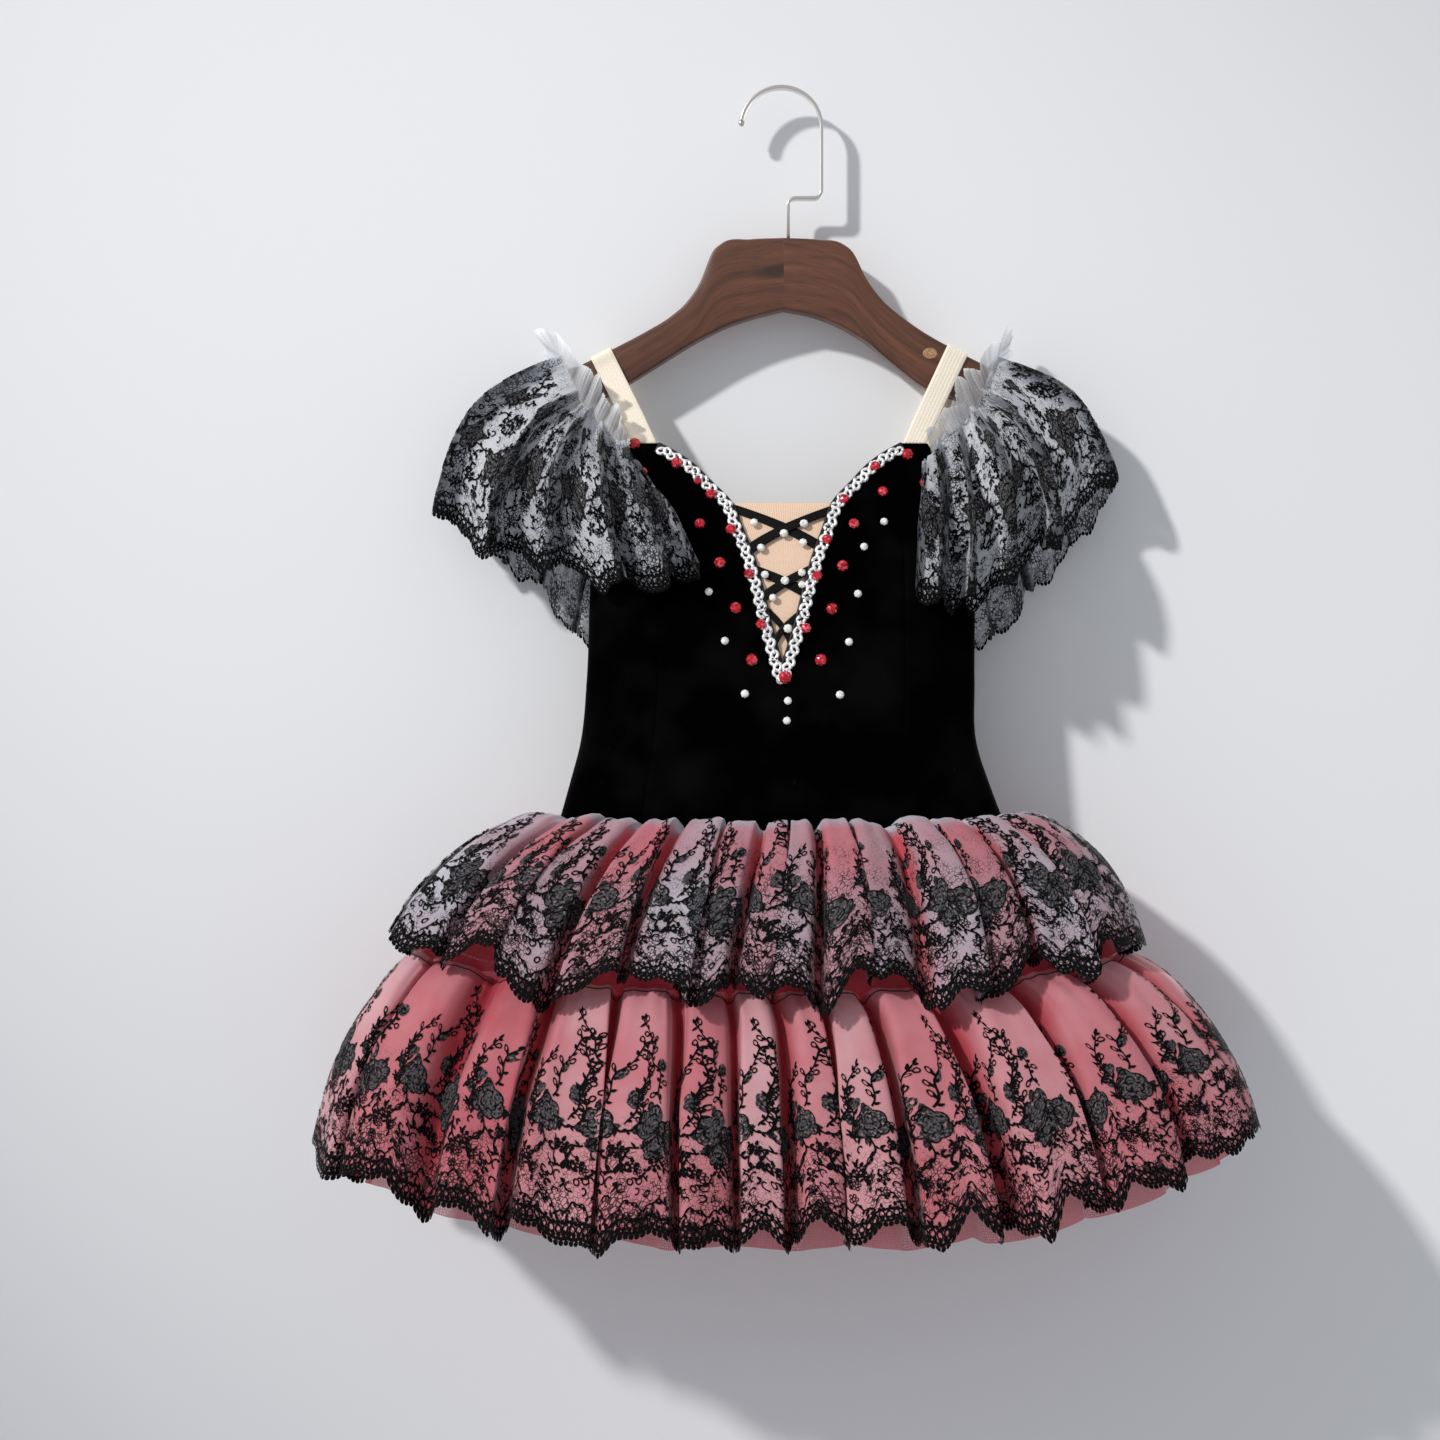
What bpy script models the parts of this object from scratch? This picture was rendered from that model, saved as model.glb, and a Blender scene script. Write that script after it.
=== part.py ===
"""A child's ballet tutu on a wooden clothes hanger, in metres, +Z up.

The origin is the inside of the hook's top, where the hook rests on what it hangs from.
+X is to the right of someone who faces the front, and the front faces -Y.

Every cloth piece is a closed wall round a surface. A surface is a function of two numbers, one across
the piece and one down it, and is worked out from short tables: a row for each section, fold or ray.
Tables and sizes are in millimetres. A drop is a distance below the origin.
"""

import math

import bmesh
import bpy
import numpy as np

MM = 0.001

# Cloth and seams
VELVET = 1.6
NET = 1.2
ELASTIC = 1.2
MESH = 1.0
RIBBON = 1.0
BRAID = 1.6
SEAM = 0.3
STITCH = 0.7
INSERT_GAP = 1.0

# Garment
MIDDLE = -6.0
STRAP_WIDTH = 14.0
RIBBON_WIDTH = 5.0
BRAID_WIDTH = 5.6
FRONT_SQUARE = 0.80
BACK_SQUARE = 0.62
PRINCESS_SEAM = 0.63
WAIST_DROP = 484.0
INSERT_TOP = 275.5
INSERT_BOTTOM = 391.0
INSERT_TUCK = 6.0
SIDE_SEAM = 0.01
NEAR_SIDE = 0.12
BRAID_OFF = 0.5
BRAID_BELOW = 7.0
SLEEVE_FOLDS = 12
HEADING_IN = 1.5
HEADING_UP = 1.65
FRILL_FOLDS = 13
SLEEVE_RIPPLE = (0.7, 5.0)
FRILL_RIPPLE = (0.4, 1.8)
SCALLOPS = 14
SCALLOP_DEPTH = 5.0
RIDGE_PART = 0.62
SIDE_WAVE = 0.65
EDGE_STEP = 0.0006
NET_INSET = 4.0
NET_WAVE = 0.4
NET_ROOM = 1.2
NET_ROWS = (0.0, 0.15, 0.4, 0.7, 1.03)

# Hanger
BOARD_MIDDLE = -3.0
BOARD_THICK = 14.0
BOARD_EDGE = 2.0
ARM_END = 136.0
END_ROUND = 0.9
SLOT_RISE = 5.0
HOOK_MIDDLE = -4.5
HOOK_RADIUS = 26.5
HOOK_THICK = 2.2
HOOK_DEEP = 7.0
HOOK_BEND = 5.0
HOOK_EDGE = 0.45
HOOK_TIP = 1.35
HOOK_JOG_DROP = 71.8
SHANK_END = 110.0


def table(columns, rows):
    """A short table: each column's name and its values down the rows."""
    return dict(zip(columns.split(), np.array(rows, float).T))


RING_COLUMNS = "level front_drop side_drop back_drop middle half_width front side back wave"

BODICE = table(RING_COLUMNS, [
    (236, 236, 236, 236, -6.0, 113.0, -24, -14, -5, 0),
    (262, 262, 262, 262, -5.5, 118.0, -34, -20, -5, 0),
    (290, 290, 290, 290, -5.0, 121.5, -46, -26, -6, 0),
    (338, 338, 338, 338, -5.0, 123.3, -60, -34, -6, 0),
    (390, 390, 390, 390, -6.0, 124.0, -68, -37, -6, 0),
    (432, 432, 432, 432, -7.5, 126.6, -75, -40, -6, 0),
    (455, 455, 455, 455, -7.0, 133.0, -79, -42, -6, 0),
    (484, 484, 484, 484, -5.5, 142.5, -84, -44, -5, 0),
])

YOKE = table(RING_COLUMNS, [
    (0.0, 485.2, 485.2, 485.2, -5.5, 142.5, -84, -44, -5, 0.6),
    (0.5, 530.0, 516.0, 536.0, -9.0, 180.0, -107, -58, -2, 1.8),
    (1.0, 580.5, 560.0, 590.0, -14.0, 218.0, -132, -75, 2, 2.6),
])

UPPER_TIER = table(RING_COLUMNS, [
    (0.00, 484.0, 484.0, 484.0, -5.5, 145.6, -87, -44, -1.6, 0.9),
    (0.08, 481.5, 478.0, 489.0, -5.5, 157.0, -97, -48, 0.6, 2.6),
    (0.22, 494.0, 486.0, 506.0, -6.5, 177.0, -107, -54, 3.4, 4.4),
    (0.48, 522.0, 505.0, 534.0, -10.0, 202.0, -124, -63, 6.5, 6.0),
    (0.75, 554.0, 530.0, 566.0, -14.0, 221.0, -141, -71, 9.0, 7.4),
    (1.00, 583.0, 552.0, 597.0, -17.0, 231.0, -156, -79, 10.5, 8.2),
])

LOWER_TIER = table(RING_COLUMNS, [
    (0.00, 581.2, 560.6, 590.6, -14.0, 220.4, -135, -76, 4.6, 1.0),
    (0.10, 592.0, 571.0, 604.0, -10.0, 233.0, -144, -80, 6.0, 3.6),
    (0.28, 614.0, 588.5, 630.0, -7.0, 248.0, -157, -86, 7.5, 6.8),
    (0.54, 647.0, 616.5, 666.0, -5.0, 266.0, -173, -90, 8.5, 9.2),
    (0.78, 681.0, 643.5, 698.0, -3.0, 277.0, -187, -94, 9.0, 10.6),
    (1.00, 711.0, 669.0, 725.0, -2.0, 283.0, -197, -96, 9.5, 11.4),
])

# Ridges of the gathers: place along the piece from seam to seam, and height against the section's wave.
UPPER_FOLDS = table("at stand", [
    (0.025, 0.7), (0.085, 0.9), (0.158, 1.1), (0.226, 0.9), (0.289, 1.0), (0.366, 1.2), (0.438, 1.0),
    (0.485, 0.8), (0.530, 0.9), (0.578, 1.1), (0.643, 0.9), (0.706, 1.2), (0.774, 1.0), (0.832, 1.1),
    (0.895, 1.0), (0.960, 0.8),
])
LOWER_FOLDS = table("at stand", [
    (0.045, 0.9), (0.130, 1.1), (0.210, 0.9), (0.280, 1.0), (0.358, 1.2), (0.428, 0.9), (0.472, 0.8),
    (0.522, 1.1), (0.574, 0.8), (0.632, 1.2), (0.720, 1.1), (0.812, 1.2), (0.895, 0.9), (0.962, 0.9),
])

# Neckline and armhole of the front: part of the half width from the middle, and the drop there.
FRONT_TOP = table("across drop", [
    (0.000, 383.0), (0.066, 355.0), (0.114, 331.0), (0.155, 313.0), (0.215, 294.0), (0.278, 276.0),
    (0.379, 263.5), (0.500, 250.0), (0.630, 240.5), (0.700, 236.5), (0.850, 236.5), (0.905, 252.0),
    (0.945, 275.0), (0.975, 298.0), (1.000, 314.0),
])
BACK_TOP = table("across drop", [
    (0.00, 296.0), (0.30, 293.0), (0.55, 284.0), (0.68, 276.5), (0.83, 276.5), (0.90, 288.0), (1.00, 314.0),
])

# Crossed ribbons: drop at the left and right edge of the opening, and which of the two lies on top.
LACING = table("left_drop right_drop on_top", [
    (279, 305, 0), (308, 281, 1), (320, 335, 0), (339, 320, 1), (341, 360, 0), (362, 345, 1),
])

# Strap, from its front end over the board to its back end: distance down from the arm's top edge, and depth.
STRAP = table("down deep", [
    (65.0, -20.5), (50.0, -17.0), (28.0, -12.0), (10.0, -8.4), (2.6, -8.3), (0.2, -7.6), (-1.3, -5.2),
    (-1.4, 0.0), (-1.3, 5.2), (0.2, 7.6), (2.6, 8.3), (32.0, 8.4), (52.0, 5.0), (80.0, -2.0), (103.5, -7.2),
])
STRAP_TOP_OUT = 117.0
STRAP_FRONT_OUT = 87.6
STRAP_BACK_OUT = 86.0
SLOPE_STEP = 5.0
LEAN_FADE = 2.5

# Gathered edge of a sleeve, from the front strap end over the shoulder to the back one.
SLEEVE_EDGE = table("at out deep drop", [
    (0.00, 92.0, -26.5, 248.0), (0.10, 100.0, -24.4, 234.0), (0.22, 113.0, -22.0, 220.5), (0.40, 129.0, -18.0, 200.0),
    (0.50, 143.0, -1.0, 174.5), (0.55, 139.0, 11.5, 183.0), (0.62, 128.0, 14.0, 202.0), (0.78, 110.5, 11.2, 226.5),
    (0.90, 101.0, 2.6, 256.0), (1.00, 93.0, -5.6, 281.0),
])
RAY_COLUMNS = "at hem_out hem_deep hem_drop puff_out puff_deep puff_up"
LEFT_RAYS = table(RAY_COLUMNS, [
    (0.00, 52, -74, 318, 0, -5, 2),
    (0.12, 74, -78, 328, 2, -8, 4),
    (0.24, 114, -70, 328, 5, -9, 6),
    (0.34, 158, -54, 314, 10, -9, 8),
    (0.43, 202, -34, 302, 14, -6, 12),
    (0.50, 230, -4, 272, 16, 0, 10),
    (0.60, 198, 6, 302, 13, 1, 10),
    (0.74, 160, 8, 326, 6, 1, 10),
    (0.88, 130, 8, 362, 3, 1, 4),
    (1.00, 106, 8, 350, 0, 1, 2),
])
RIGHT_RAYS = table(RAY_COLUMNS, [
    (0.00, 84, -68, 332, 0, -6, 2),
    (0.12, 104, -74, 342, 2, -8, 4),
    (0.24, 124, -70, 340, 5, -9, 6),
    (0.34, 156, -52, 322, 10, -9, 8),
    (0.43, 190, -32, 294, 14, -6, 11),
    (0.50, 229, -4, 246, 12, 0, 8),
    (0.60, 206, 6, 286, 13, 1, 10),
    (0.74, 168, 8, 330, 7, 1, 10),
    (0.88, 138, 8, 363, 3, 1, 4),
    (1.00, 112, 8, 352, 0, 1, 2),
])
FRILL_RAYS = table("at out deep up", [
    (0.00, 2, -9, -1), (0.06, 0.8, -10.0, 3.6), (0.22, -1, -10, 12), (0.40, 0, -8, 16), (0.50, 6, -2, 16),
    (0.60, 3, 3.0, 13), (0.78, 0, 3.0, 8), (1.00, -1, 4, 4),
])

# Upper and lower edge of the hanger's arms: distance out from the board's middle, and the two drops.
LEFT_ARM = table("out top bottom", [
    (0, 98.7, 146.0), (22, 99.6, 151.6), (41, 102.4, 158.5), (47, 108.0, 161.5), (55, 127.5, 165.5),
    (64, 141.0, 170.8), (75, 150.8, 177.6), (90, 160.0, 187.0), (110, 170.6, 199.0), (136, 183.6, 211.6),
])
RIGHT_ARM = table("out top bottom", [
    (0, 98.7, 146.0), (22, 99.8, 150.8), (39, 102.8, 158.0), (45, 107.5, 161.5), (54, 124.5, 167.0),
    (64, 138.5, 175.5), (75, 148.5, 184.5), (90, 159.4, 196.0), (110, 171.0, 203.5), (136, 184.4, 212.4),
])

FINISHES = {
    "walnut": ((0.125, 0.046, 0.024), 0.42, 0.0),
    "satin_steel": ((0.62, 0.60, 0.58), 0.32, 1.0),
    "black_velvet": ((0.006, 0.006, 0.007), 0.95, 0.0),
    "ivory_elastic": ((0.83, 0.70, 0.58), 0.75, 0.0),
    "nude_mesh": ((0.84, 0.66, 0.53), 0.80, 0.0),
    "black_ribbon": ((0.010, 0.010, 0.011), 0.45, 0.0),
    "silver_braid": ((0.75, 0.74, 0.73), 0.35, 0.0),
    "black_lace": ((0.055, 0.055, 0.060), 0.85, 0.0),
    "white_tulle": ((0.72, 0.73, 0.76), 0.85, 0.0),
    "pink_organza": ((0.56, 0.13, 0.16), 0.80, 0.0),
    "coral_net": ((0.62, 0.10, 0.12), 0.85, 0.0),
}


def finish(name):
    """The piece's own material."""
    colour, roughness, metallic = FINISHES[name]
    material = bpy.data.materials.new(name)
    material.use_nodes = True
    shader = material.node_tree.nodes["Principled BSDF"]
    shader.inputs["Base Color"].default_value = (*colour, 1.0)
    shader.inputs["Roughness"].default_value = roughness
    shader.inputs["Metallic"].default_value = metallic
    return material


def add_piece(name, points, faces, look, group):
    """A piece whose origin is the middle of its box, shaded smooth where it bends softly."""
    points = np.asarray(points, float)
    centre = (points.min(axis=0) + points.max(axis=0)) / 2
    mesh = bpy.data.meshes.new(name)
    mesh.from_pydata((points - centre).tolist(), [], faces)
    body = bmesh.new()
    body.from_mesh(mesh)
    bmesh.ops.recalc_face_normals(body, faces=body.faces)
    body.to_mesh(mesh)
    body.free()
    mesh.shade_smooth()
    mesh.set_sharp_from_angle(angle=math.radians(40))
    mesh.materials.append(finish(look))
    piece = bpy.data.objects.new(name, mesh)
    piece.location = centre
    piece.parent = group
    bpy.context.scene.collection.objects.link(piece)
    return piece


def through(at, values, where):
    """Smooth curve through a table's rows: cubic pieces, each row's slope taken from its neighbours."""
    slope = np.gradient(values, at)
    i = np.clip(np.searchsorted(at, where, side="right") - 1, 0, len(at) - 2)
    span = at[i + 1] - at[i]
    f = (where - at[i]) / span
    return (
        (1 + 2 * f) * (1 - f) ** 2 * values[i]
        + f * (1 - f) ** 2 * span * slope[i]
        + f * f * (3 - 2 * f) * values[i + 1]
        - f * f * (1 - f) * span * slope[i + 1]
    )


def outward(surface, u, v, step=1e-4):
    """Unit normals of a surface, to the outside of the garment."""
    along = surface(u + step, v) - surface(u - step, v)
    down = surface(u, v + step) - surface(u, v - step)
    normal = np.cross(down, along)
    return normal / np.linalg.norm(normal, axis=-1, keepdims=True)


def wall(name, surface, us, vs, thick, look, group, out=0.0):
    """Closed sheet of cloth: the surface moved to its two faces, joined along its four edges."""
    u, v = np.meshgrid(us, vs)
    middle = surface(u, v)
    normal = outward(surface, u, v)
    faces_out = middle + normal * (out + thick / 2) * MM
    faces_in = middle + normal * (out - thick / 2) * MM
    rows, columns = u.shape
    count = rows * columns

    def corner(row, column, inner=0):
        return inner * count + row * columns + column

    faces = []
    for r in range(rows - 1):
        for c in range(columns - 1):
            for inner in (0, 1):
                faces.append([corner(r, c, inner), corner(r, c + 1, inner),
                              corner(r + 1, c + 1, inner), corner(r + 1, c, inner)])
    for c in range(columns - 1):
        for r in (0, rows - 1):
            faces.append([corner(r, c), corner(r, c + 1), corner(r, c + 1, 1), corner(r, c, 1)])
    for r in range(rows - 1):
        for c in (0, columns - 1):
            faces.append([corner(r, c), corner(r + 1, c), corner(r + 1, c, 1), corner(r, c, 1)])
    points = np.concatenate([faces_out.reshape(-1, 3), faces_in.reshape(-1, 3)])
    return add_piece(name, points, faces, look, group)


# ---- Sections -------------------------------------------------------------------------------------------

def tube(rings, turn, level):
    """Point on a tube of sections. turn is the angle from the front middle towards +X.

    Each section is a rounded oblong: half width to the sides, its own depth to the front and back,
    and a drop that goes from the side's to the front's or back's with the square of the cosine.
    """
    value = {key: through(rings["level"], column, level) for key, column in rings.items() if key != "level"}
    sine, cosine = np.sin(turn), np.cos(turn)
    front = cosine > 0
    square = np.where(front, FRONT_SQUARE, BACK_SQUARE)
    reach = np.abs(cosine) ** square
    end = np.where(front, value["front"], value["back"])
    end_drop = np.where(front, value["front_drop"], value["back_drop"])
    x = value["middle"] + value["half_width"] * np.sign(sine) * np.abs(sine) ** square
    y = value["side"] + (end - value["side"]) * reach
    drop = value["side_drop"] + (end_drop - value["side_drop"]) * cosine**2
    return np.stack([x, y, -drop], axis=-1) * MM


def turn_of(across, back=False):
    """Angle at which a section reaches that part of its half width."""
    square = BACK_SQUARE if back else FRONT_SQUARE
    angle = np.sign(across) * np.arcsin(np.clip(np.abs(across), 0, 1) ** (1 / square))
    return math.pi - angle if back else angle


# ---- Hanger ---------------------------------------------------------------------------------------------

def arm_outline(arm, side):
    """Upper edge outwards, round end, and lower edge back to the middle."""
    out = arm["out"]
    steps = np.concatenate([np.linspace(out[i], out[i + 1], 3)[:-1] for i in range(len(out) - 1)])
    end_top, end_bottom = arm["top"][-1], arm["bottom"][-1]
    radius = (end_bottom - end_top) / 2
    angles = np.linspace(90, -90, 9)
    points = [(side * s, -through(out, arm["top"], s)) for s in steps]
    for a in np.radians(angles):
        out_at = ARM_END + END_ROUND * radius * math.cos(a)
        points.append((side * out_at, radius * math.sin(a) - (end_top + radius)))
    points += [(side * s, -through(out, arm["bottom"], s)) for s in steps[::-1]]
    return points


def make_board(group):
    """Shaped board, its edges rounded, with a slot for the hook's shank."""
    right = arm_outline(RIGHT_ARM, 1)
    left = arm_outline(LEFT_ARM, -1)
    outline = right + left[::-1][1:-1]
    front = [((BOARD_MIDDLE + x) * MM, -BOARD_THICK / 2 * MM, z * MM) for x, z in outline]
    back = [((BOARD_MIDDLE + x) * MM, BOARD_THICK / 2 * MM, z * MM) for x, z in outline]
    n = len(outline)
    faces = [list(range(n)), list(range(n, 2 * n))]
    faces += [[i, (i + 1) % n, n + (i + 1) % n, n + i] for i in range(n)]
    board = add_piece("hanger_board", front + back, faces, "walnut", group)
    bevel = board.modifiers.new("Rounded edges", "BEVEL")
    bevel.width = BOARD_EDGE * MM
    bevel.segments = 2
    bevel.limit_method = "ANGLE"
    bevel.angle_limit = math.radians(50)

    half_x = (HOOK_THICK / 2 + SEAM) * MM
    half_y = (HOOK_DEEP / 2 + SEAM) * MM
    top, bottom = -(LEFT_ARM["top"][0] - SLOT_RISE) * MM, -(SHANK_END + SEAM) * MM
    corners = [(x, y, z) for z in (bottom, top) for y in (-half_y, half_y) for x in (-half_x, half_x)]
    sides = [[0, 1, 3, 2], [4, 5, 7, 6], [0, 1, 5, 4], [2, 3, 7, 6], [0, 2, 6, 4], [1, 3, 7, 5]]
    slot = add_piece("shank_slot", corners, sides, "walnut", group)
    slot.hide_render = True
    slot.display_type = "WIRE"
    cut = board.modifiers.new("Shank slot", "BOOLEAN")
    cut.operation = "DIFFERENCE"
    cut.object = slot


def arc(centre_x, centre_drop, radius, start, end, steps):
    """Points on an arc in the hanger's plane, angles in degrees from +X towards +Z."""
    angles = np.radians(np.linspace(start, end, steps + 1))
    return [(centre_x + radius * math.cos(a), -centre_drop + radius * math.sin(a)) for a in angles]


def make_hook(group):
    """Flat strip: an arch over the rail, a straight drop, a jog to the middle, and the shank."""
    inner = HOOK_RADIUS - HOOK_THICK / 2
    arch_drop = math.sqrt(inner**2 - HOOK_MIDDLE**2)
    drop_x = HOOK_MIDDLE + HOOK_RADIUS
    path = arc(HOOK_MIDDLE, arch_drop, HOOK_RADIUS, 172, 0, 17)
    path += arc(drop_x - HOOK_BEND, HOOK_JOG_DROP - HOOK_BEND, HOOK_BEND, 0, -90, 4)
    path += arc(HOOK_BEND, HOOK_JOG_DROP + HOOK_BEND, HOOK_BEND, 90, 180, 4)
    path.append((0.0, -SHANK_END))
    path = np.array(path)
    step = np.gradient(path, axis=0)
    step /= np.linalg.norm(step, axis=1, keepdims=True)
    across = np.stack([-step[:, 1], step[:, 0]], axis=1)
    swell = np.ones(len(path))
    swell[0:2] = HOOK_TIP
    t, d, edge = HOOK_THICK / 2, HOOK_DEEP / 2, HOOK_EDGE
    section = [(t, d - edge), (t - edge, d), (edge - t, d), (-t, d - edge),
               (-t, edge - d), (edge - t, -d), (t - edge, -d), (t, edge - d)]
    points = []
    for centre, side, size in zip(path, across, swell):
        for off, deep in section:
            points.append(((centre[0] + side[0] * off * size) * MM, deep * MM,
                           (centre[1] + side[1] * off * size) * MM))
    k = len(section)
    faces = [list(range(k)), list(range(len(points) - k, len(points)))]
    for i in range(len(path) - 1):
        for j in range(k):
            a, b = i * k + j, i * k + (j + 1) % k
            faces.append([a, b, b + k, a + k])
    add_piece("hanger_hook", points, faces, "satin_steel", group)


# ---- Bodice ---------------------------------------------------------------------------------------------

def front_top(across):
    """Drop of the front's neckline and armhole."""
    return np.interp(np.abs(across), FRONT_TOP["across"], FRONT_TOP["drop"])


def back_top(across):
    """Drop of the back's neckline and armhole."""
    return np.interp(np.abs(across), BACK_TOP["across"], BACK_TOP["drop"])


def bodice_panel(top_line, back=False):
    """Surface of a panel from its top line down to the waist; u is the angle round, v goes from 0 to 1."""
    square = BACK_SQUARE if back else FRONT_SQUARE

    def surface(u, v):
        across = np.abs(np.sin(u)) ** square
        top = top_line(across)
        return tube(BODICE, u, top + (WAIST_DROP - top) * v)

    return surface


def on_front(x, drop):
    """Point of the front's middle surface at that place seen from the front."""
    middle = through(BODICE["level"], BODICE["middle"], drop)
    half = through(BODICE["level"], BODICE["half_width"], drop)
    return tube(BODICE, turn_of((x - middle) / half), drop)


def opening_half(drop):
    """Half the width of the neck opening at that drop."""
    half = through(BODICE["level"], BODICE["half_width"], drop)
    return np.interp(drop, FRONT_TOP["drop"][:9][::-1], FRONT_TOP["across"][:9][::-1]) * half


def opening_middle(drop):
    """Middle of the neck opening at that drop."""
    return through(BODICE["level"], BODICE["middle"], drop)


def make_bodice(group):
    """Centre front with the opening, two side fronts and one plain back, in velvet."""
    front = bodice_panel(front_top)
    back = bodice_panel(back_top, back=True)
    seam_angle = SEAM / BODICE["half_width"].max()
    princess = turn_of(PRINCESS_SEAM)
    side = math.pi / 2
    down = np.linspace(0, 1, 9)

    cut = FRONT_TOP["across"][FRONT_TOP["across"] < PRINCESS_SEAM]
    angles = turn_of(cut)
    angles = np.append(angles, princess - seam_angle)
    centre = np.concatenate([-angles[:0:-1], angles])
    wall("bodice_front_centre", front, centre, down, VELVET, "black_velvet", group)

    cut = FRONT_TOP["across"][(FRONT_TOP["across"] > PRINCESS_SEAM) & (FRONT_TOP["across"] < 1)]
    angles = np.concatenate([[princess + seam_angle], turn_of(cut), [side - NEAR_SIDE, side - SIDE_SEAM]])
    wall("bodice_side_front_r", front, angles, down, VELVET, "black_velvet", group)
    wall("bodice_side_front_l", front, -angles[::-1], down, VELVET, "black_velvet", group)

    cut = BACK_TOP["across"][(BACK_TOP["across"] > 0) & (BACK_TOP["across"] < 1)]
    angles = turn_of(cut, back=True)[::-1]
    half = np.concatenate([[side + SIDE_SEAM, side + NEAR_SIDE], angles, [math.pi]])
    round_back = np.concatenate([half, 2 * math.pi - half[-2::-1]])
    wall("bodice_back", back, round_back, down, VELVET, "black_velvet", group)


def make_insert(group):
    """Mesh behind the neck opening, tucked under its edges."""
    out = -(VELVET / 2 + INSERT_GAP + MESH / 2)

    def surface(u, v):
        drop = INSERT_TOP + (INSERT_BOTTOM - INSERT_TOP) * v
        return on_front(opening_middle(drop) + u * (opening_half(drop) + INSERT_TUCK), drop)

    wall("front_insert", surface, np.linspace(-1, 1, 9), np.linspace(0, 1, 8), MESH, "nude_mesh", group, out)


def make_lacing(group):
    """Ribbons across the opening, in crossed pairs, cut to its edges."""
    under = SEAM + RIBBON / 2 - (VELVET / 2 + INSERT_GAP)
    for i, (left, right, on_top) in enumerate(zip(*LACING.values())):
        def surface(u, v):
            drop = (left + right) / 2 + (right - left) / 2 * u + v * RIBBON_WIDTH / 2
            return on_front(opening_middle(drop) + u * (opening_half(drop) - 2 * SEAM), drop)

        out = under + on_top * (RIBBON + SEAM)
        name = "lacing_" + str(i // 2 + 1) + "ab"[i % 2]
        wall(name, surface, np.linspace(-1, 1, 7), np.array([-1, 0, 1]), RIBBON, "black_ribbon", group, out)


def make_neck_trims(group):
    """Braid on the velvet, along both edges of the opening."""
    rows = slice(0, 10)
    drops = FRONT_TOP["drop"][rows].copy()
    halves = FRONT_TOP["across"][rows] * through(BODICE["level"], BODICE["half_width"], drops)
    drops[0] -= BRAID_BELOW
    halves[0] = opening_half(drops[0])
    length = np.concatenate([[0], np.cumsum(np.hypot(np.diff(halves), np.diff(drops)))])
    slope_out = np.gradient(halves, length)
    slope_down = np.gradient(drops, length)
    size = np.hypot(slope_out, slope_down)
    away_out, away_down = -slope_down / size, slope_out / size
    out = VELVET / 2 + SEAM + BRAID / 2
    for tag, side in (("l", -1), ("r", 1)):
        def surface(u, v):
            along = u * length[-1]
            off = BRAID_OFF + (v + 1) / 2 * BRAID_WIDTH
            drop = np.interp(along, length, drops) + off * np.interp(along, length, away_down)
            half = np.interp(along, length, halves) + off * np.interp(along, length, away_out)
            return on_front(opening_middle(drop) + side * half, drop)

        wall("neck_trim_" + tag, surface, length / length[-1], np.array([-1, 0, 1]), BRAID,
             "silver_braid", group, out * side)


# ---- Straps ---------------------------------------------------------------------------------------------

def make_straps(group):
    """Elastic over the hanger's arms, from the front's top corners to the back's.

    Each half runs straight in the front view from the top to its own corner. Where it lies on the board it
    leans with the arm's slope, and it is level again at its ends.
    """
    steps = np.arange(len(STRAP["down"]), dtype=float)
    back = STRAP["deep"] > 0
    end_out = np.where(back, STRAP_BACK_OUT, STRAP_FRONT_OUT)
    end_drop = np.where(back, BACK_TOP["drop"][3], FRONT_TOP["drop"][9]) - STITCH
    run = np.where(back, STRAP["down"][-1], STRAP["down"][0])
    part = np.maximum(STRAP["down"], 0) / run
    for tag, side, arm in (("l", -1, LEFT_ARM), ("r", 1, RIGHT_ARM)):
        x_top = MIDDLE + side * STRAP_TOP_OUT
        on_arm = abs(x_top - BOARD_MIDDLE)
        near = on_arm + np.array([-SLOPE_STEP, 0, SLOPE_STEP])
        edge = through(arm["out"], arm["top"], near)
        arm_lean = math.atan((edge[2] - edge[0]) / (2 * SLOPE_STEP))
        x = x_top + side * (end_out - STRAP_TOP_OUT) * part
        drop = edge[1] + (end_drop - edge[1]) * part + np.minimum(STRAP["down"], 0)
        lean = arm_lean * np.minimum(1, LEAN_FADE * (1 - part))

        def surface(u, v):
            angle = np.interp(v, steps, lean)
            off = u * STRAP_WIDTH / 2
            px = np.interp(v, steps, x) + off * np.cos(angle)
            pz = -np.interp(v, steps, drop) - side * off * np.sin(angle)
            return np.stack([px, np.interp(v, steps, STRAP["deep"]), pz], axis=-1) * MM

        wall("strap_" + tag, surface, np.array([-1, 0, 1]), steps, ELASTIC, "ivory_elastic", group)


# ---- Sleeves --------------------------------------------------------------------------------------------

def sleeve_edge(at, side):
    """Gathered edge of a sleeve."""
    value = {key: through(SLEEVE_EDGE["at"], column, at) for key, column in SLEEVE_EDGE.items() if key != "at"}
    return np.stack([MIDDLE + side * value["out"], value["deep"], -value["drop"]], axis=-1)


def ripples(surface, folds, small, large):
    """The surface with even soft folds that grow from its gathered edge to its hem."""
    def rippled(u, v):
        height = (small + (large - small) * v) * np.cos(2 * math.pi * folds * u)
        return surface(u, v) + outward(surface, u, v) * height[..., None] * MM

    return rippled


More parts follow.
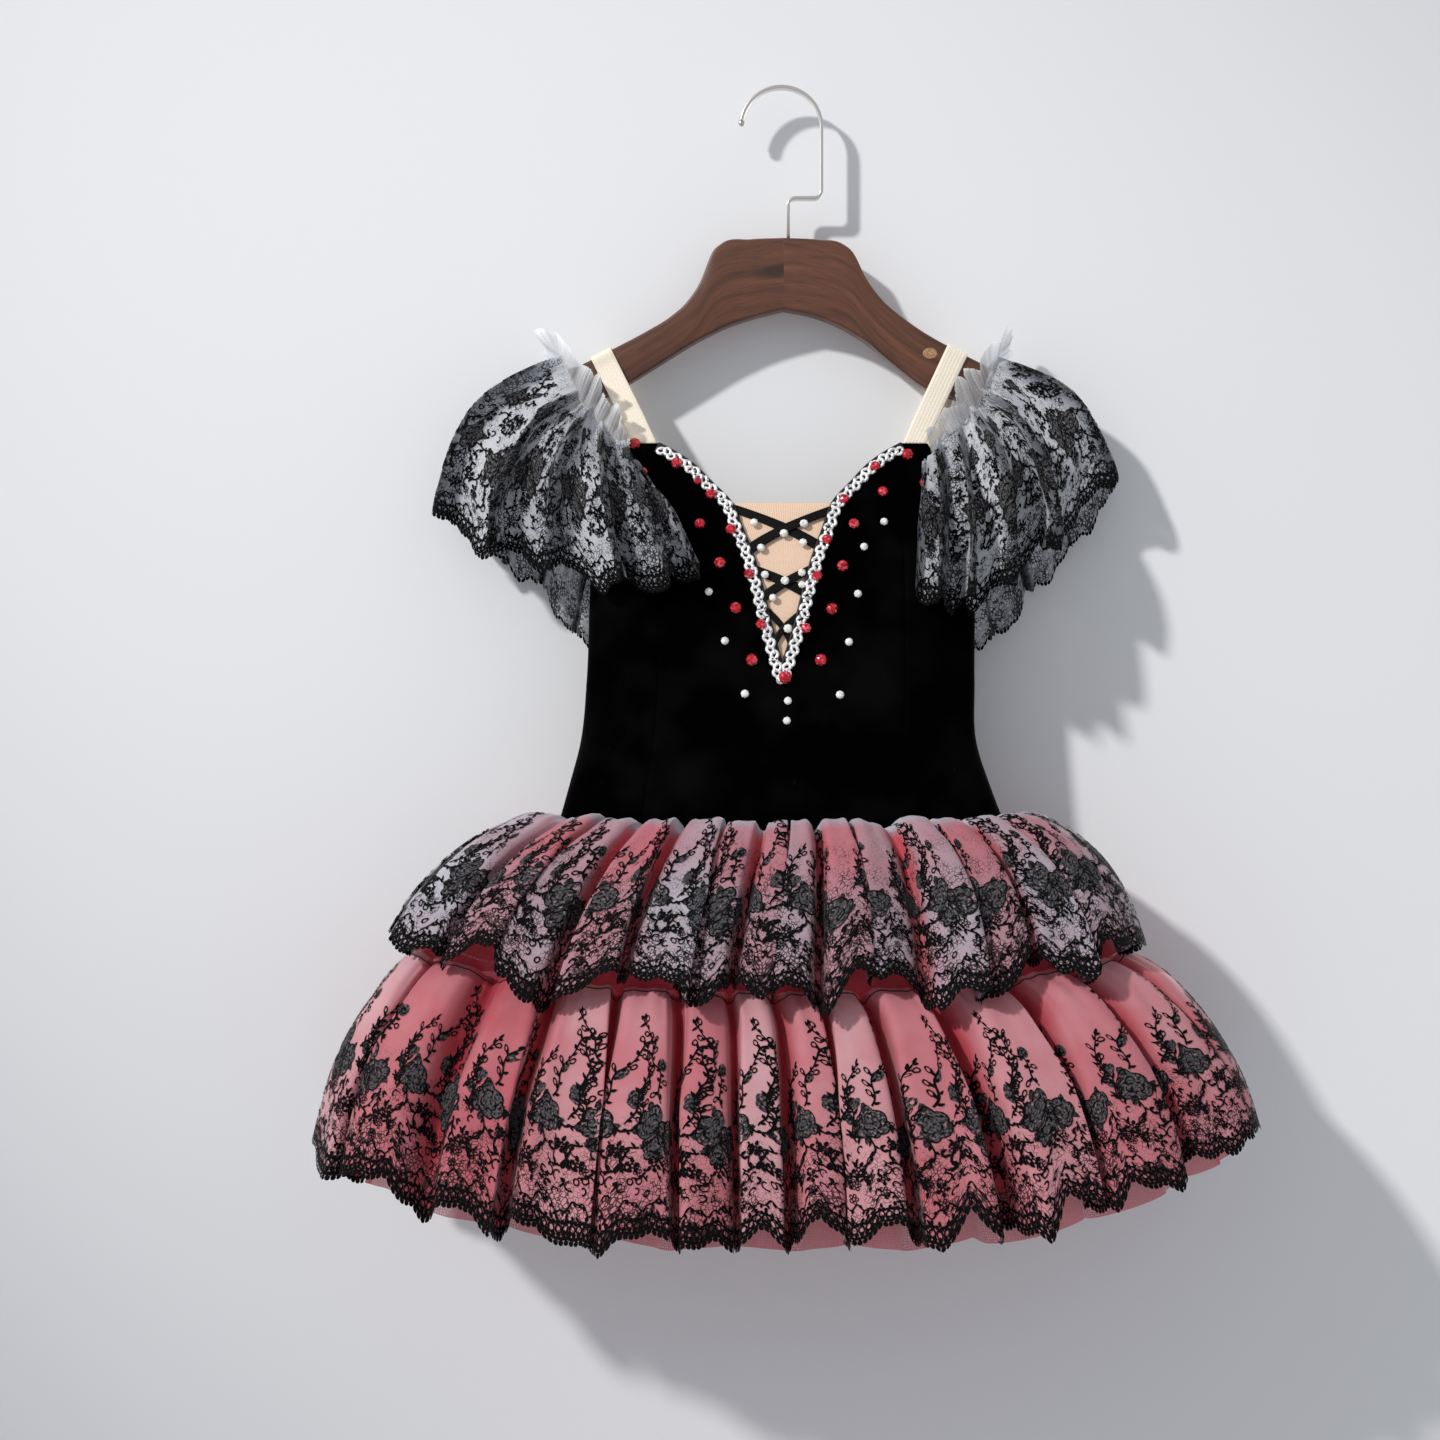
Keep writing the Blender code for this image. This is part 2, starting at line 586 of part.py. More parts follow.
def sleeve(rays, side):
    """Flounce from the gathered edge to its hem, each ray a bow that puffs out at its middle."""
    def surface(u, v):
        value = {key: through(rays["at"], column, u) for key, column in rays.items() if key != "at"}
        edge = sleeve_edge(u, side)
        hem = np.stack([MIDDLE + side * value["hem_out"], value["hem_deep"], -value["hem_drop"]], axis=-1)
        puff = np.stack([side * value["puff_out"], value["puff_deep"], value["puff_up"]], axis=-1)
        bow = (edge + hem) / 2 + 2 * puff
        v = v[..., None]
        return ((1 - v) ** 2 * edge + 2 * v * (1 - v) * bow + v**2 * hem) * MM

    return surface


def frill(side):
    """Heading that stands off the gathered edge, towards the strap."""
    def surface(u, v):
        value = {key: through(FRILL_RAYS["at"], column, u) for key, column in FRILL_RAYS.items() if key != "at"}
        edge = sleeve_edge(u, side) + np.array([-side * HEADING_IN, 0, HEADING_UP])
        reach = np.stack([side * value["out"], value["deep"], value["up"]], axis=-1)
        return (edge + v[..., None] * reach) * MM

    return surface


def make_sleeves(group):
    """A lace flounce and its tulle heading at each shoulder."""
    for tag, side, rays in (("l", -1, LEFT_RAYS), ("r", 1, RIGHT_RAYS)):
        steps = np.linspace(0, 1, SLEEVE_FOLDS * 4 + 1)
        flounce = ripples(sleeve(rays, side), SLEEVE_FOLDS, *SLEEVE_RIPPLE)
        wall("sleeve_ruffle_" + tag, flounce, steps, np.linspace(0, 1, 7), NET, "black_lace", group)
        steps = np.linspace(0.02, 0.98, FRILL_FOLDS * 4 + 1)
        heading = ripples(frill(side), FRILL_FOLDS, *FRILL_RIPPLE)
        wall("sleeve_frill_" + tag, heading, steps, np.linspace(0, 1, 3), NET, "white_tulle", group)


# ---- Skirt ----------------------------------------------------------------------------------------------

def turn_at(rings, part, start):
    """Angle at a part of the way round the hem, in length, from the seam at the angle start."""
    turns = start + np.linspace(-0.02, math.pi + 0.02, 500)
    hem = tube(rings, turns, np.full(500, rings["level"][-1]))
    length = np.concatenate([[0], np.cumsum(np.linalg.norm(np.diff(hem, axis=0), axis=1))])
    seams = np.interp([start, start + math.pi], turns, length)
    return np.interp(seams[0] + part * (seams[1] - seams[0]), length, turns)


def fold_marks(folds):
    """Seam, ridge, trough, ridge ... seam, and the height of each."""
    at, stand = folds["at"], folds["stand"]
    places = np.zeros(2 * len(at) + 1)
    heights = np.zeros(2 * len(at) + 1)
    places[1::2] = at
    heights[1::2] = stand
    places[2:-1:2] = (at[:-1] + at[1:]) / 2
    heights[2:-1:2] = -(stand[:-1] + stand[1:]) / 2
    places[-1] = 1.0
    return places, heights


def pleats(folds, part):
    """Height of the gathers: half cosines from each mark to the next, with ridges wider than troughs."""
    places, heights = fold_marks(folds)
    i = np.clip(np.searchsorted(places, part, side="right") - 1, 0, len(places) - 2)
    f = np.clip((part - places[i]) / (places[i + 1] - places[i]), 0, 1)
    middle = np.where(i % 2 == 1, RIDGE_PART, 1 - RIDGE_PART)
    half = np.where(f < middle, f / middle, 1 + (f - middle) / (1 - middle)) / 2
    return heights[i] + (heights[i + 1] - heights[i]) * (1 - np.cos(math.pi * half)) / 2


def gathered(rings, folds, start, inset=None, share=1.0):
    """Half of a gathered skirt piece. u goes round from the seam at the angle start, v from seam to hem.

    The smooth tube is moved along its normals by the section's wave times the fold's height. The wave
    is less at the back, which lies flat.
    """
    def smooth(u, v):
        return tube(rings, turn_at(rings, u, start), v)

    def surface(u, v):
        turn = turn_at(rings, u, start)
        wave = through(rings["level"], rings["wave"], v) * (SIDE_WAVE + (1 - SIDE_WAVE) * np.cos(turn))
        height = wave * share * pleats(folds, u)
        if inset is not None:
            height = height - wave * NET_ROOM * (1 + share) - inset
        return smooth(u, v) + outward(smooth, u, v) * height[..., None] * MM

    return surface


def scalloped(surface, count, depth):
    """The surface with its hem cut in scallops."""
    def cut(u, v):
        drop = depth * (np.abs(np.sin(math.pi * count * u)) - 0.5) * v**4
        point = surface(u, v)
        point[..., 2] -= drop * MM
        return point

    return cut


def marks_and_middles(folds):
    """A column on each ridge and trough and one between each two."""
    places, _ = fold_marks(folds)
    part = np.where(np.arange(len(places) - 1) % 2 == 1, RIDGE_PART, 1 - RIDGE_PART)
    between = places[:-1] + part * np.diff(places)
    columns = np.sort(np.concatenate([places, between]))
    columns[0], columns[-1] = EDGE_STEP, 1 - EDGE_STEP
    return columns


def make_skirt(group):
    """Yoke, the tier over it, the tier sewn to its lower edge, and the net under that."""
    front, back = -math.pi / 2, math.pi / 2
    for tag, start in (("front", front), ("back", back)):
        upper = marks_and_middles(UPPER_FOLDS)
        lower = marks_and_middles(LOWER_FOLDS)
        wall("skirt_yoke_" + tag, gathered(YOKE, UPPER_FOLDS, start), upper[::2], np.linspace(0, 1, 4), NET,
             "pink_organza", group)
        tier = scalloped(gathered(UPPER_TIER, UPPER_FOLDS, start), SCALLOPS, SCALLOP_DEPTH)
        wall("tier_upper_" + tag, tier, upper, UPPER_TIER["level"], NET, "black_lace", group)
        tier = scalloped(gathered(LOWER_TIER, LOWER_FOLDS, start), SCALLOPS, SCALLOP_DEPTH)
        wall("tier_lower_" + tag, tier, lower, LOWER_TIER["level"], NET, "pink_organza", group)
        under = gathered(LOWER_TIER, LOWER_FOLDS, start, inset=NET_INSET, share=NET_WAVE)
        wall("underskirt_" + tag, under, lower[::2], np.array(NET_ROWS), NET, "coral_net", group)


def main():
    """Clear the scene and build every piece under one empty."""
    for item in list(bpy.data.objects):
        bpy.data.objects.remove(item, do_unlink=True)
    group = bpy.data.objects.new("tutu", None)
    bpy.context.scene.collection.objects.link(group)
    make_board(group)
    make_hook(group)
    make_bodice(group)
    make_insert(group)
    make_lacing(group)
    make_neck_trims(group)
    make_straps(group)
    make_sleeves(group)
    make_skirt(group)


main()
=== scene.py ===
"""Looks of a child's ballet tutu on a wooden hanger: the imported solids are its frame, in metres, +Z up."""
import math

import bmesh
import bpy
import numpy as np
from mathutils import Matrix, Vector


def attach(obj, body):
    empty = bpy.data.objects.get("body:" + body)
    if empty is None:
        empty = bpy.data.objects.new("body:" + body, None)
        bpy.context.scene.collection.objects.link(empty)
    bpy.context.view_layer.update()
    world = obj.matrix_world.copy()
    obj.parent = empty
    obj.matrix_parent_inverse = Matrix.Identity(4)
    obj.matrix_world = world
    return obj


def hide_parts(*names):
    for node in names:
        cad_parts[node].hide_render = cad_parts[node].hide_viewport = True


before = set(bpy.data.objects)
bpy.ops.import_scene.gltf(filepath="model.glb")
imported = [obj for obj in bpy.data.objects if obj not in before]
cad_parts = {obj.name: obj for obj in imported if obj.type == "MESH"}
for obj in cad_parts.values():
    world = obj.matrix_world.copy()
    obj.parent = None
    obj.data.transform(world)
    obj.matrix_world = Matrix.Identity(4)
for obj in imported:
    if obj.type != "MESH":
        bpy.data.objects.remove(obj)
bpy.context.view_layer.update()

# ---- Hanger board ---------------------------------------------------------------------------------------
# Two halves of walnut glued at the middle, shaped, with rounded edges and a satin lacquer. A pale oval plug
# fills a knot on the right arm.

MM = 0.001
BOARD_MIDDLE = -3.0
BOARD_HALF_THICK = 7.0
BOARD_EDGE = 2.4
ARM_END = 136.0
ARM_COLUMNS = "out top bottom"
GLUE_LINE = 0.12
RIGHT_GRAIN = 0.5  # metres along the plank at which the right half was cut


def table(columns, rows):
    """A short table: each column's name and its values down the rows."""
    return dict(zip(columns.split(), np.array(rows, float).T))


LEFT_ARM = table(ARM_COLUMNS, [
    (0, 98.7, 146.0), (22, 99.6, 151.6), (41, 102.4, 158.5), (47, 108.0, 161.5), (55, 127.5, 165.5),
    (64, 141.0, 170.8), (75, 150.8, 177.6), (90, 160.0, 187.0), (110, 170.6, 199.0), (136, 183.6, 211.6),
])
RIGHT_ARM = table(ARM_COLUMNS, [
    (0, 98.7, 146.0), (22, 99.8, 150.8), (39, 102.8, 158.0), (45, 107.5, 161.5), (54, 124.5, 167.0),
    (64, 138.5, 175.5), (75, 148.5, 184.5), (90, 159.4, 196.0), (110, 171.0, 203.5), (136, 184.4, 212.4),
])


def through(at, values, where):
    """Smooth curve through a table's rows: cubic pieces, each row's slope taken from its neighbours."""
    slope = np.gradient(values, at)
    i = np.clip(np.searchsorted(at, where, side="right") - 1, 0, len(at) - 2)
    span = at[i + 1] - at[i]
    f = (where - at[i]) / span
    return (
        (1 + 2 * f) * (1 - f) ** 2 * values[i]
        + f * (1 - f) ** 2 * span * slope[i]
        + f * f * (3 - 2 * f) * values[i + 1]
        - f * f * (1 - f) * span * slope[i + 1]
    )


def columns_at(rows, where):
    """A table's other columns, each as a smooth curve over its first one."""
    first, *others = rows
    return {key: through(rows[first], rows[key], where) for key in others}


def full_turn(count):
    """Angles spread evenly round a full turn."""
    return np.linspace(0, 2 * math.pi, count, endpoint=False)


def linear(hex_colour):
    """An sRGB hex colour as linear red, green, blue and alpha."""
    parts = [int(hex_colour[i:i + 2], 16) / 255 for i in (1, 3, 5)]
    return (*[p / 12.92 if p <= 0.04045 else ((p + 0.055) / 1.055) ** 2.4 for p in parts], 1.0)


def wire(node, inputs):
    """Sets a node's inputs: each is a value, a socket, or a node whose first output feeds it."""
    for key, value in inputs.items():
        if isinstance(value, bpy.types.Node):
            value = value.outputs[0]
        if isinstance(value, bpy.types.NodeSocket):
            node.id_data.links.new(value, node.inputs[key])
        else:
            node.inputs[key].default_value = value


def add_node(tree, kind, inputs=(), stops=(), **settings):
    """Adds a node with its settings and links; a ramp's stops are places with a hex colour or a grey."""
    made = tree.nodes.new("ShaderNode" + kind)
    for key, value in settings.items():
        setattr(made, key, value)
    wire(made, dict(inputs))
    if stops:
        elements = made.color_ramp.elements
        while len(elements) < len(stops):
            elements.new(0.5)
        for element, (at, tone) in zip(elements, stops):
            element.position = at
            element.color = linear(tone) if isinstance(tone, str) else (tone, tone, tone, 1.0)
    return made


def new_material(name, **constants):
    """A Principled material with these constants; returns it, its node tree and its shader."""
    material = bpy.data.materials.new(name)
    material.use_nodes = True
    shader = material.node_tree.nodes["Principled BSDF"]
    wire(shader, {key.replace("_", " "): value for key, value in constants.items()})
    return material, material.node_tree, shader


def make_mesh(name, points, faces, uv=None, smooth=True):
    """An object from arrays of points in millimetres and of faces; uv is one pair for each point."""
    mesh = bpy.data.meshes.new(name)
    mesh.from_pydata((np.asarray(points, float).reshape(-1, 3) * MM).tolist(), [], np.asarray(faces).tolist())
    if uv is not None:
        corners = np.empty(len(mesh.loops), dtype=np.int32)
        mesh.loops.foreach_get("vertex_index", corners)
        pairs = np.asarray(uv, np.float32).reshape(-1, 2)[corners]
        mesh.uv_layers.new(name="Cloth").uv.foreach_set("vector", pairs.ravel())
    if smooth:
        mesh.polygons.foreach_set("use_smooth", np.ones(len(mesh.polygons), dtype=bool))
    made = bpy.data.objects.new(name, mesh)
    bpy.context.scene.collection.objects.link(made)
    return made


def grid_faces(rows, columns, loop=False):
    """Quads of a grid stored row by row; with loop, the last column joins the first."""
    r, c = np.meshgrid(np.arange(rows - 1), np.arange(columns if loop else columns - 1), indexing="ij")
    r, c = r.ravel(), c.ravel()
    d = (c + 1) % columns
    return np.stack([r * columns + c, (r + 1) * columns + c, (r + 1) * columns + d, r * columns + d], axis=1)


def close_up(piece, ends=0):
    """Closes the first and last ring of that many points with a face, and turns all faces outwards."""
    body = bmesh.new()
    body.from_mesh(piece.data)
    body.verts.ensure_lookup_table()
    for ring in (body.verts[:ends], body.verts[-ends:]) if ends else ():
        body.faces.new(ring)
    bmesh.ops.recalc_face_normals(body, faces=body.faces)
    body.to_mesh(piece.data)
    body.free()
    return piece


def place(piece, material, slot, *nodes):
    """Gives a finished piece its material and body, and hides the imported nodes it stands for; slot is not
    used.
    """
    piece.data.materials.append(material)
    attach(piece, "root")
    if nodes:
        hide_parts(*nodes)
    return piece


def rounded_oblong(half_deep, half_high, edge, per_corner=4):
    """Ring of a rounded rectangle, anticlockwise from its lower front corner: depth and height."""
    deep, high = [], []
    for a0, cy, cz in ((180, -1, -1), (270, 1, -1), (0, 1, 1), (90, -1, 1)):
        a = np.radians(a0 + np.linspace(0, 90, per_corner + 1))
        deep.append(cy * (half_deep - edge) + edge * np.cos(a))
        high.append(cz * (half_high - edge) + edge * np.sin(a))
    deep, high = np.concatenate(deep), np.concatenate(high)
    at = np.arange(len(deep) + 1)
    fine = np.linspace(0, len(deep), len(deep) * 2 + 1)[:-1]
    return tuple(np.interp(fine, at, np.append(ring, ring[0])) for ring in (deep, high))


def board_half(name, arm, side):
    """Loft of rounded oblongs from the glue line to the arm's round end.

    At each distance out the oblong spans the arm's upper and lower edge. Past the arm's end its height
    follows a half circle. The grain's own map runs along the arm's middle line.
    """
    end_half = (arm["bottom"][-1] - arm["top"][-1]) / 2
    straight = np.concatenate([[0.0, GLUE_LINE], np.linspace(2 * GLUE_LINE, ARM_END, 88)])
    turn = np.radians(np.linspace(0, 89.0, 14)[1:])
    out = np.concatenate([straight, ARM_END + 0.9 * end_half * np.sin(turn)])
    edges = columns_at(arm, np.minimum(out, ARM_END))
    middle, half = (edges["top"] + edges["bottom"]) / 2, (edges["bottom"] - edges["top"]) / 2
    shrink = np.concatenate([np.ones(len(straight)), np.cos(turn)])
    rings, uvs = [], []
    for o, m, h in zip(out, middle, half * shrink):
        deep, high = rounded_oblong(BOARD_HALF_THICK, h, min(BOARD_EDGE, h * 0.8))
        rings.append(np.stack([np.full_like(deep, BOARD_MIDDLE + side * o), deep, high - m], axis=1))
        along = o * MM + (RIGHT_GRAIN if side > 0 else 0)
        uvs.append(np.stack([np.full_like(deep, along), (high + 0.3 * deep) * MM], axis=1))
    around = len(rings[0])
    faces = grid_faces(len(rings), around, loop=True)
    return close_up(make_mesh(name, np.concatenate(rings), faces, np.concatenate(uvs)), around)


def walnut():
    """Walnut, planed, sanded and lacquered: brown with darker bands and short pores along the grain."""
    material, tree, shader = new_material("walnut_satin_lacquer", Roughness=0.38, IOR=1.5, Coat_Weight=0.12,
                                          Coat_Roughness=0.25)
    grain = add_node(tree, "UVMap", uv_map="Cloth")
    band_mm, band_long_mm, pore_mm, pore_long_mm = 8.0, 90.0, 0.7, 12.0
    wide = add_node(tree, "Mapping", {"Vector": grain, "Scale": (1000 / band_long_mm, 1000 / band_mm, 1)})
    bands = add_node(tree, "TexNoise", {"Vector": wide, "Scale": 1.0, "Detail": 5.0, "Distortion": 0.6})
    fine = add_node(tree, "Mapping", {"Vector": grain, "Scale": (1000 / pore_long_mm, 1000 / pore_mm, 1)})
    pores = add_node(tree, "TexNoise", {"Vector": fine, "Scale": 1.0, "Detail": 3.0})
    brown = add_node(tree, "ValToRGB", {"Fac": bands}, stops=[
        (0.22, "#3a1d12"), (0.42, "#54301f"), (0.60, "#653b28"), (0.82, "#784932")])
    specks = add_node(tree, "ValToRGB", {"Fac": pores}, stops=[(0.36, 0.68), (0.50, 1.0)])
    colour = add_node(tree, "Mix", {0: 1.0, 6: brown, 7: specks}, data_type="RGBA", blend_type="MULTIPLY")
    # A dark mineral streak in the left half, 26 mm out from the glue line and 12 mm high.
    streak_map = add_node(tree, "Mapping", {"Vector": grain, "Location": (-0.027, -0.006, 0),
                                            "Scale": (1 / 0.026, 1 / 0.006, 1)})
    streak = add_node(tree, "TexGradient", {"Vector": streak_map}, gradient_type="SPHERICAL")
    dark = add_node(tree, "ValToRGB", {"Fac": streak.outputs["Fac"]}, stops=[(0.0, 0.0), (0.5, 0.75)])
    knotted = add_node(tree, "Mix", {0: dark, 6: colour.outputs[2], 7: linear("#22120c")}, data_type="RGBA")
    bump = add_node(tree, "Bump", {"Height": pores, "Strength": 0.18, "Distance": 0.0003})
    wire(shader, {"Base Color": knotted.outputs[2], "Normal": bump})
    return material


WALNUT = walnut()
for tag, side, arm in (("left", -1, LEFT_ARM), ("right", 1, RIGHT_ARM)):
    place(board_half("board_" + tag, arm, side), WALNUT, "board_wood", "hanger_board")


def dome(name, centre, radii, thick, rings=4, around=32):
    """Low oval dome on the board's front: rings that shrink to the middle as its height rises."""
    t = np.linspace(0, 1, rings + 1)[:, None]
    a = full_turn(around)[None, :]
    size = np.cos(t * math.pi / 2) * (t < 1) + 1e-3 * (t == 1)
    x = centre[0] + radii[0] * size * np.cos(a)
    z = centre[2] + radii[1] * size * np.sin(a)
    y = centre[1] - thick * np.sin(t * math.pi / 2) + 0 * a
    uv = np.stack([x, z], axis=-1) * MM
    return make_mesh(name, np.stack([x, y, z], axis=-1), grid_faces(rings + 1, around, loop=True), uv)


# The plug is end grain of maple, sanded flush: pale, with small soft specks.
plug_wood, plug_tree, plug_shader = new_material("maple_plug", Roughness=0.45)
plug_noise = add_node(plug_tree, "TexNoise", {
    "Vector": add_node(plug_tree, "TexCoord").outputs["Object"], "Scale": 900.0})
plug_tone = add_node(plug_tree, "ValToRGB", {"Fac": plug_noise}, stops=[(0.35, "#8f6845"), (0.7, "#b98f68")])
wire(plug_shader, {"Base Color": plug_tone})
place(dome("board_plug", (93.0, -6.9, -175.0), (5.0, 3.8), 0.3), plug_wood, "board_wood")

# ---- Hanger hook ----------------------------------------------------------------------------------------
# A flat strip of satin-finished steel, 2.2 by 7 mm, bent cold over the rail, with a small ball at its tip and
# its shank pressed into the board's top.

HOOK_MIDDLE = -4.5
HOOK_RADIUS = 26.5
HOOK_THICK = 2.2
HOOK_DEEP = 7.0
HOOK_EDGE = 0.5
HOOK_BEND = 5.0
HOOK_JOG_DROP = 71.8
SHANK_END = 109.0
TIP_RADIUS = 2.3


def arc(centre_x, centre_drop, radius, start, end, steps):
    """Points on an arc in the hanger's plane, angles in degrees from +X towards +Z."""
    angles = np.radians(np.linspace(start, end, steps + 1))
    return np.stack([centre_x + radius * np.cos(angles), radius * np.sin(angles) - centre_drop], axis=1)


def unit(vectors):
    """Vectors made one long."""
    return vectors / np.maximum(np.linalg.norm(vectors, axis=-1, keepdims=True), 1e-9)


def sweep_strip(name, path, thick, deep, edge):
    """A rounded oblong carried along a path in the hanger's plane, square to it, closed at both ends."""
    step = unit(np.gradient(path, axis=0))
    off, depth = rounded_oblong(thick / 2, deep / 2, edge, per_corner=3)
    x = path[:, :1] - step[:, 1:] * off
    z = path[:, 1:] + step[:, :1] * off
    points = np.stack([x, np.broadcast_to(depth, x.shape), z], axis=-1)
    return close_up(make_mesh(name, points, grid_faces(*x.shape, loop=True)), len(off))


def ball(name, centre, radius, rings=12, around=20):
    """Sphere from rings of latitude."""
    a = np.linspace(0, math.pi, rings + 1)[:, None]
    b = full_turn(around)[None, :]
    size = np.maximum(np.sin(a), 1e-3)
    points = np.stack([centre[0] + radius * size * np.cos(b), centre[1] + radius * size * np.sin(b),
                       centre[2] + radius * np.cos(a) + 0 * b], axis=-1)
    return close_up(make_mesh(name, points, grid_faces(rings + 1, around, loop=True)))


def satin_steel():
    """Steel strip brushed along its length: soft grey shine drawn out by fine lines."""
    material, tree, shader = new_material("satin_steel", Base_Color=linear("#d6d2cd"), Metallic=1.0)
    place_on = add_node(tree, "TexCoord").outputs["Object"]
    line_mm, line_long_mm = 0.4, 8.0
    stretched = add_node(tree, "Mapping", {
        "Vector": place_on, "Scale": (1000 / line_mm, 1000 / line_mm, 1000 / line_long_mm)})
    lines = add_node(tree, "TexNoise", {"Vector": stretched, "Scale": 1.0, "Detail": 3.0})
    rough = add_node(tree, "MapRange", {"Value": lines, "To Min": 0.22, "To Max": 0.42})
    bump = add_node(tree, "Bump", {"Height": lines, "Strength": 0.15, "Distance": 0.0001})
    wire(shader, {"Roughness": rough, "Normal": bump})
    return material


arch_drop = math.sqrt((HOOK_RADIUS - HOOK_THICK / 2) ** 2 - HOOK_MIDDLE**2)
drop_x = HOOK_MIDDLE + HOOK_RADIUS
hook_path = np.concatenate([
    arc(HOOK_MIDDLE, arch_drop, HOOK_RADIUS, 172, 0, 72),
    arc(drop_x - HOOK_BEND, HOOK_JOG_DROP - HOOK_BEND, HOOK_BEND, 0, -90, 12),
    arc(HOOK_BEND, HOOK_JOG_DROP + HOOK_BEND, HOOK_BEND, 90, 180, 12),
    [[0.0, -SHANK_END]],
])
STEEL = satin_steel()
hook = sweep_strip("hook_strip", hook_path, HOOK_THICK, HOOK_DEEP, HOOK_EDGE)
place(hook, STEEL, "hook_metal", "hanger_hook")
tip_x, tip_z = hook_path[0]
place(ball("hook_tip", (tip_x, 0.0, tip_z - 0.6), TIP_RADIUS), STEEL, "hook_metal")

# ---- Straps ---------------------------------------------------------------------------------------------
# Ivory plush elastic, 14 mm wide, sewn inside the velvet's top corners and laid over the hanger's arms.

MIDDLE = -6.0
STRAP_WIDTH = 14.0
ELASTIC = 1.2
STITCH = 0.7
STRAP = table("down deep", [
    (65.0, -20.5), (50.0, -17.0), (28.0, -12.0), (10.0, -8.4), (2.6, -8.3), (0.2, -7.6), (-1.3, -5.2),
    (-1.4, 0.0), (-1.3, 5.2), (0.2, 7.6), (2.6, 8.3), (32.0, 8.4), (52.0, 5.0), (80.0, -2.0), (103.5, -7.2),
])
STRAP_TOP_OUT = 117.0
STRAP_FRONT_OUT = 87.6
STRAP_BACK_OUT = 86.0
FRONT_CORNER_DROP = 236.5
BACK_CORNER_DROP = 276.5
WAVE_TURN = 6.283  # a wave texture counts its bands in radians


def grid_normals(points):
    """Unit normals of a grid: its step down crossed with its step along, one for each point."""
    return unit(np.cross(np.gradient(points, axis=0), np.gradient(points, axis=1)))


def closed_wall(name, middle, thick, out=0.0, uv=None):
    """A closed cloth wall: a grid of points moved half its thickness to each side, with rounded edges.

    Round the rim runs a middle row, pushed outwards along the cloth by part of the thickness.
    """
    rows, columns = middle.shape[:2]
    normal = grid_normals(middle)
    index = np.arange(rows * columns).reshape(rows, columns)
    rim = np.concatenate([index[0, :-1], index[:-1, -1], index[-1, :0:-1], index[:0:-1, 0]])
    core = middle + normal * out
    away = np.zeros_like(core)
    away[0] -= core[1] - core[0]
    away[-1] += core[-1] - core[-2]
    away[:, 0] -= core[:, 1] - core[:, 0]
    away[:, -1] += core[:, -1] - core[:, -2]
    edge = (core + unit(away) * thick * 0.4).reshape(-1, 3)[rim]
    outer, inside = ((middle + normal * (out + half)).reshape(-1, 3) for half in (thick / 2, -thick / 2))
    n, j = rows * columns, np.arange(len(rim))
    after = np.roll(j, -1)
    first, second = (np.stack([start + rim[j], start + rim[after], 2 * n + after, 2 * n + j], axis=1)
                     for start in (0, n))
    sides = grid_faces(rows, columns)
    faces = np.concatenate([sides, n + sides[:, ::-1], first, second[:, ::-1]])
    if uv is not None:
        flat = uv.reshape(-1, 2)
        uv = np.concatenate([flat, flat, flat[rim]])
    return close_up(make_mesh(name, np.concatenate([outer, inside, edge]), faces, uv))


def steps_of(points):
    """Length of each step along and each step down a grid."""
    return (np.linalg.norm(np.diff(points, axis=axis), axis=-1) for axis in (1, 0))


def so_far(steps):
    """Length from the start to each point, from the steps between them."""
    return np.concatenate([[0], np.cumsum(steps)])


def flat_places(points):
    """Where each point of a grid lies on the flat cloth, in metres: mean length along, and down, so far."""
    along, down = steps_of(points)
    return np.stack(np.meshgrid(so_far(along.mean(axis=0)), so_far(down.mean(axis=1))), axis=-1) * MM


def declare_cloth(points):
    """Works out a cloth's cut: the grid's longest lines along and down, and the area of its cells; it keeps
    none of it.
    """
    along, down = steps_of(points)
    along, down = along.sum(axis=1).max() * MM, down.sum(axis=0).max() * MM
    one, other = points[1:, 1:] - points[:-1, :-1], points[1:, :-1] - points[:-1, 1:]
    area = np.linalg.norm(np.cross(one, other), axis=-1).sum() / 2 * MM**2
    area = float(np.clip(area, 0.31 * along * down, along * down))


def strap_grid(side, arm):
    """Strip along the strap's path: it leans with the arm's slope where it lies on it."""
    steps = np.arange(len(STRAP["down"]), dtype=float)
    x_top = MIDDLE + side * STRAP_TOP_OUT
    on_arm = abs(x_top - BOARD_MIDDLE)
    reach = 5
    top, nearer, farther = (columns_at(arm, on_arm + step)["top"] for step in (0, -reach, reach))
    back = STRAP["deep"] > 0
    end_out = np.where(back, STRAP_BACK_OUT, STRAP_FRONT_OUT)
    end_drop = np.where(back, BACK_CORNER_DROP, FRONT_CORNER_DROP) - STITCH
    run = np.where(back, STRAP["down"][-1], STRAP["down"][0])
    part = np.maximum(STRAP["down"], 0) / run
    x = x_top + side * (end_out - STRAP_TOP_OUT) * part
    drop = top + (end_drop - top) * part + np.minimum(STRAP["down"], 0)
    lean = math.atan((farther - nearer) / (2 * reach)) * np.minimum(1, 2.5 * (1 - part))
    u, v = np.meshgrid(np.linspace(-1, 1, 9), np.linspace(0, steps[-1], 141))
    angle, off = np.interp(v, steps, lean), u * STRAP_WIDTH / 2
    return np.stack([
        through(steps, x, v) + off * np.cos(angle),
        through(steps, STRAP["deep"], v),
        -through(steps, drop, v) - side * off * np.sin(angle),
    ], axis=-1)


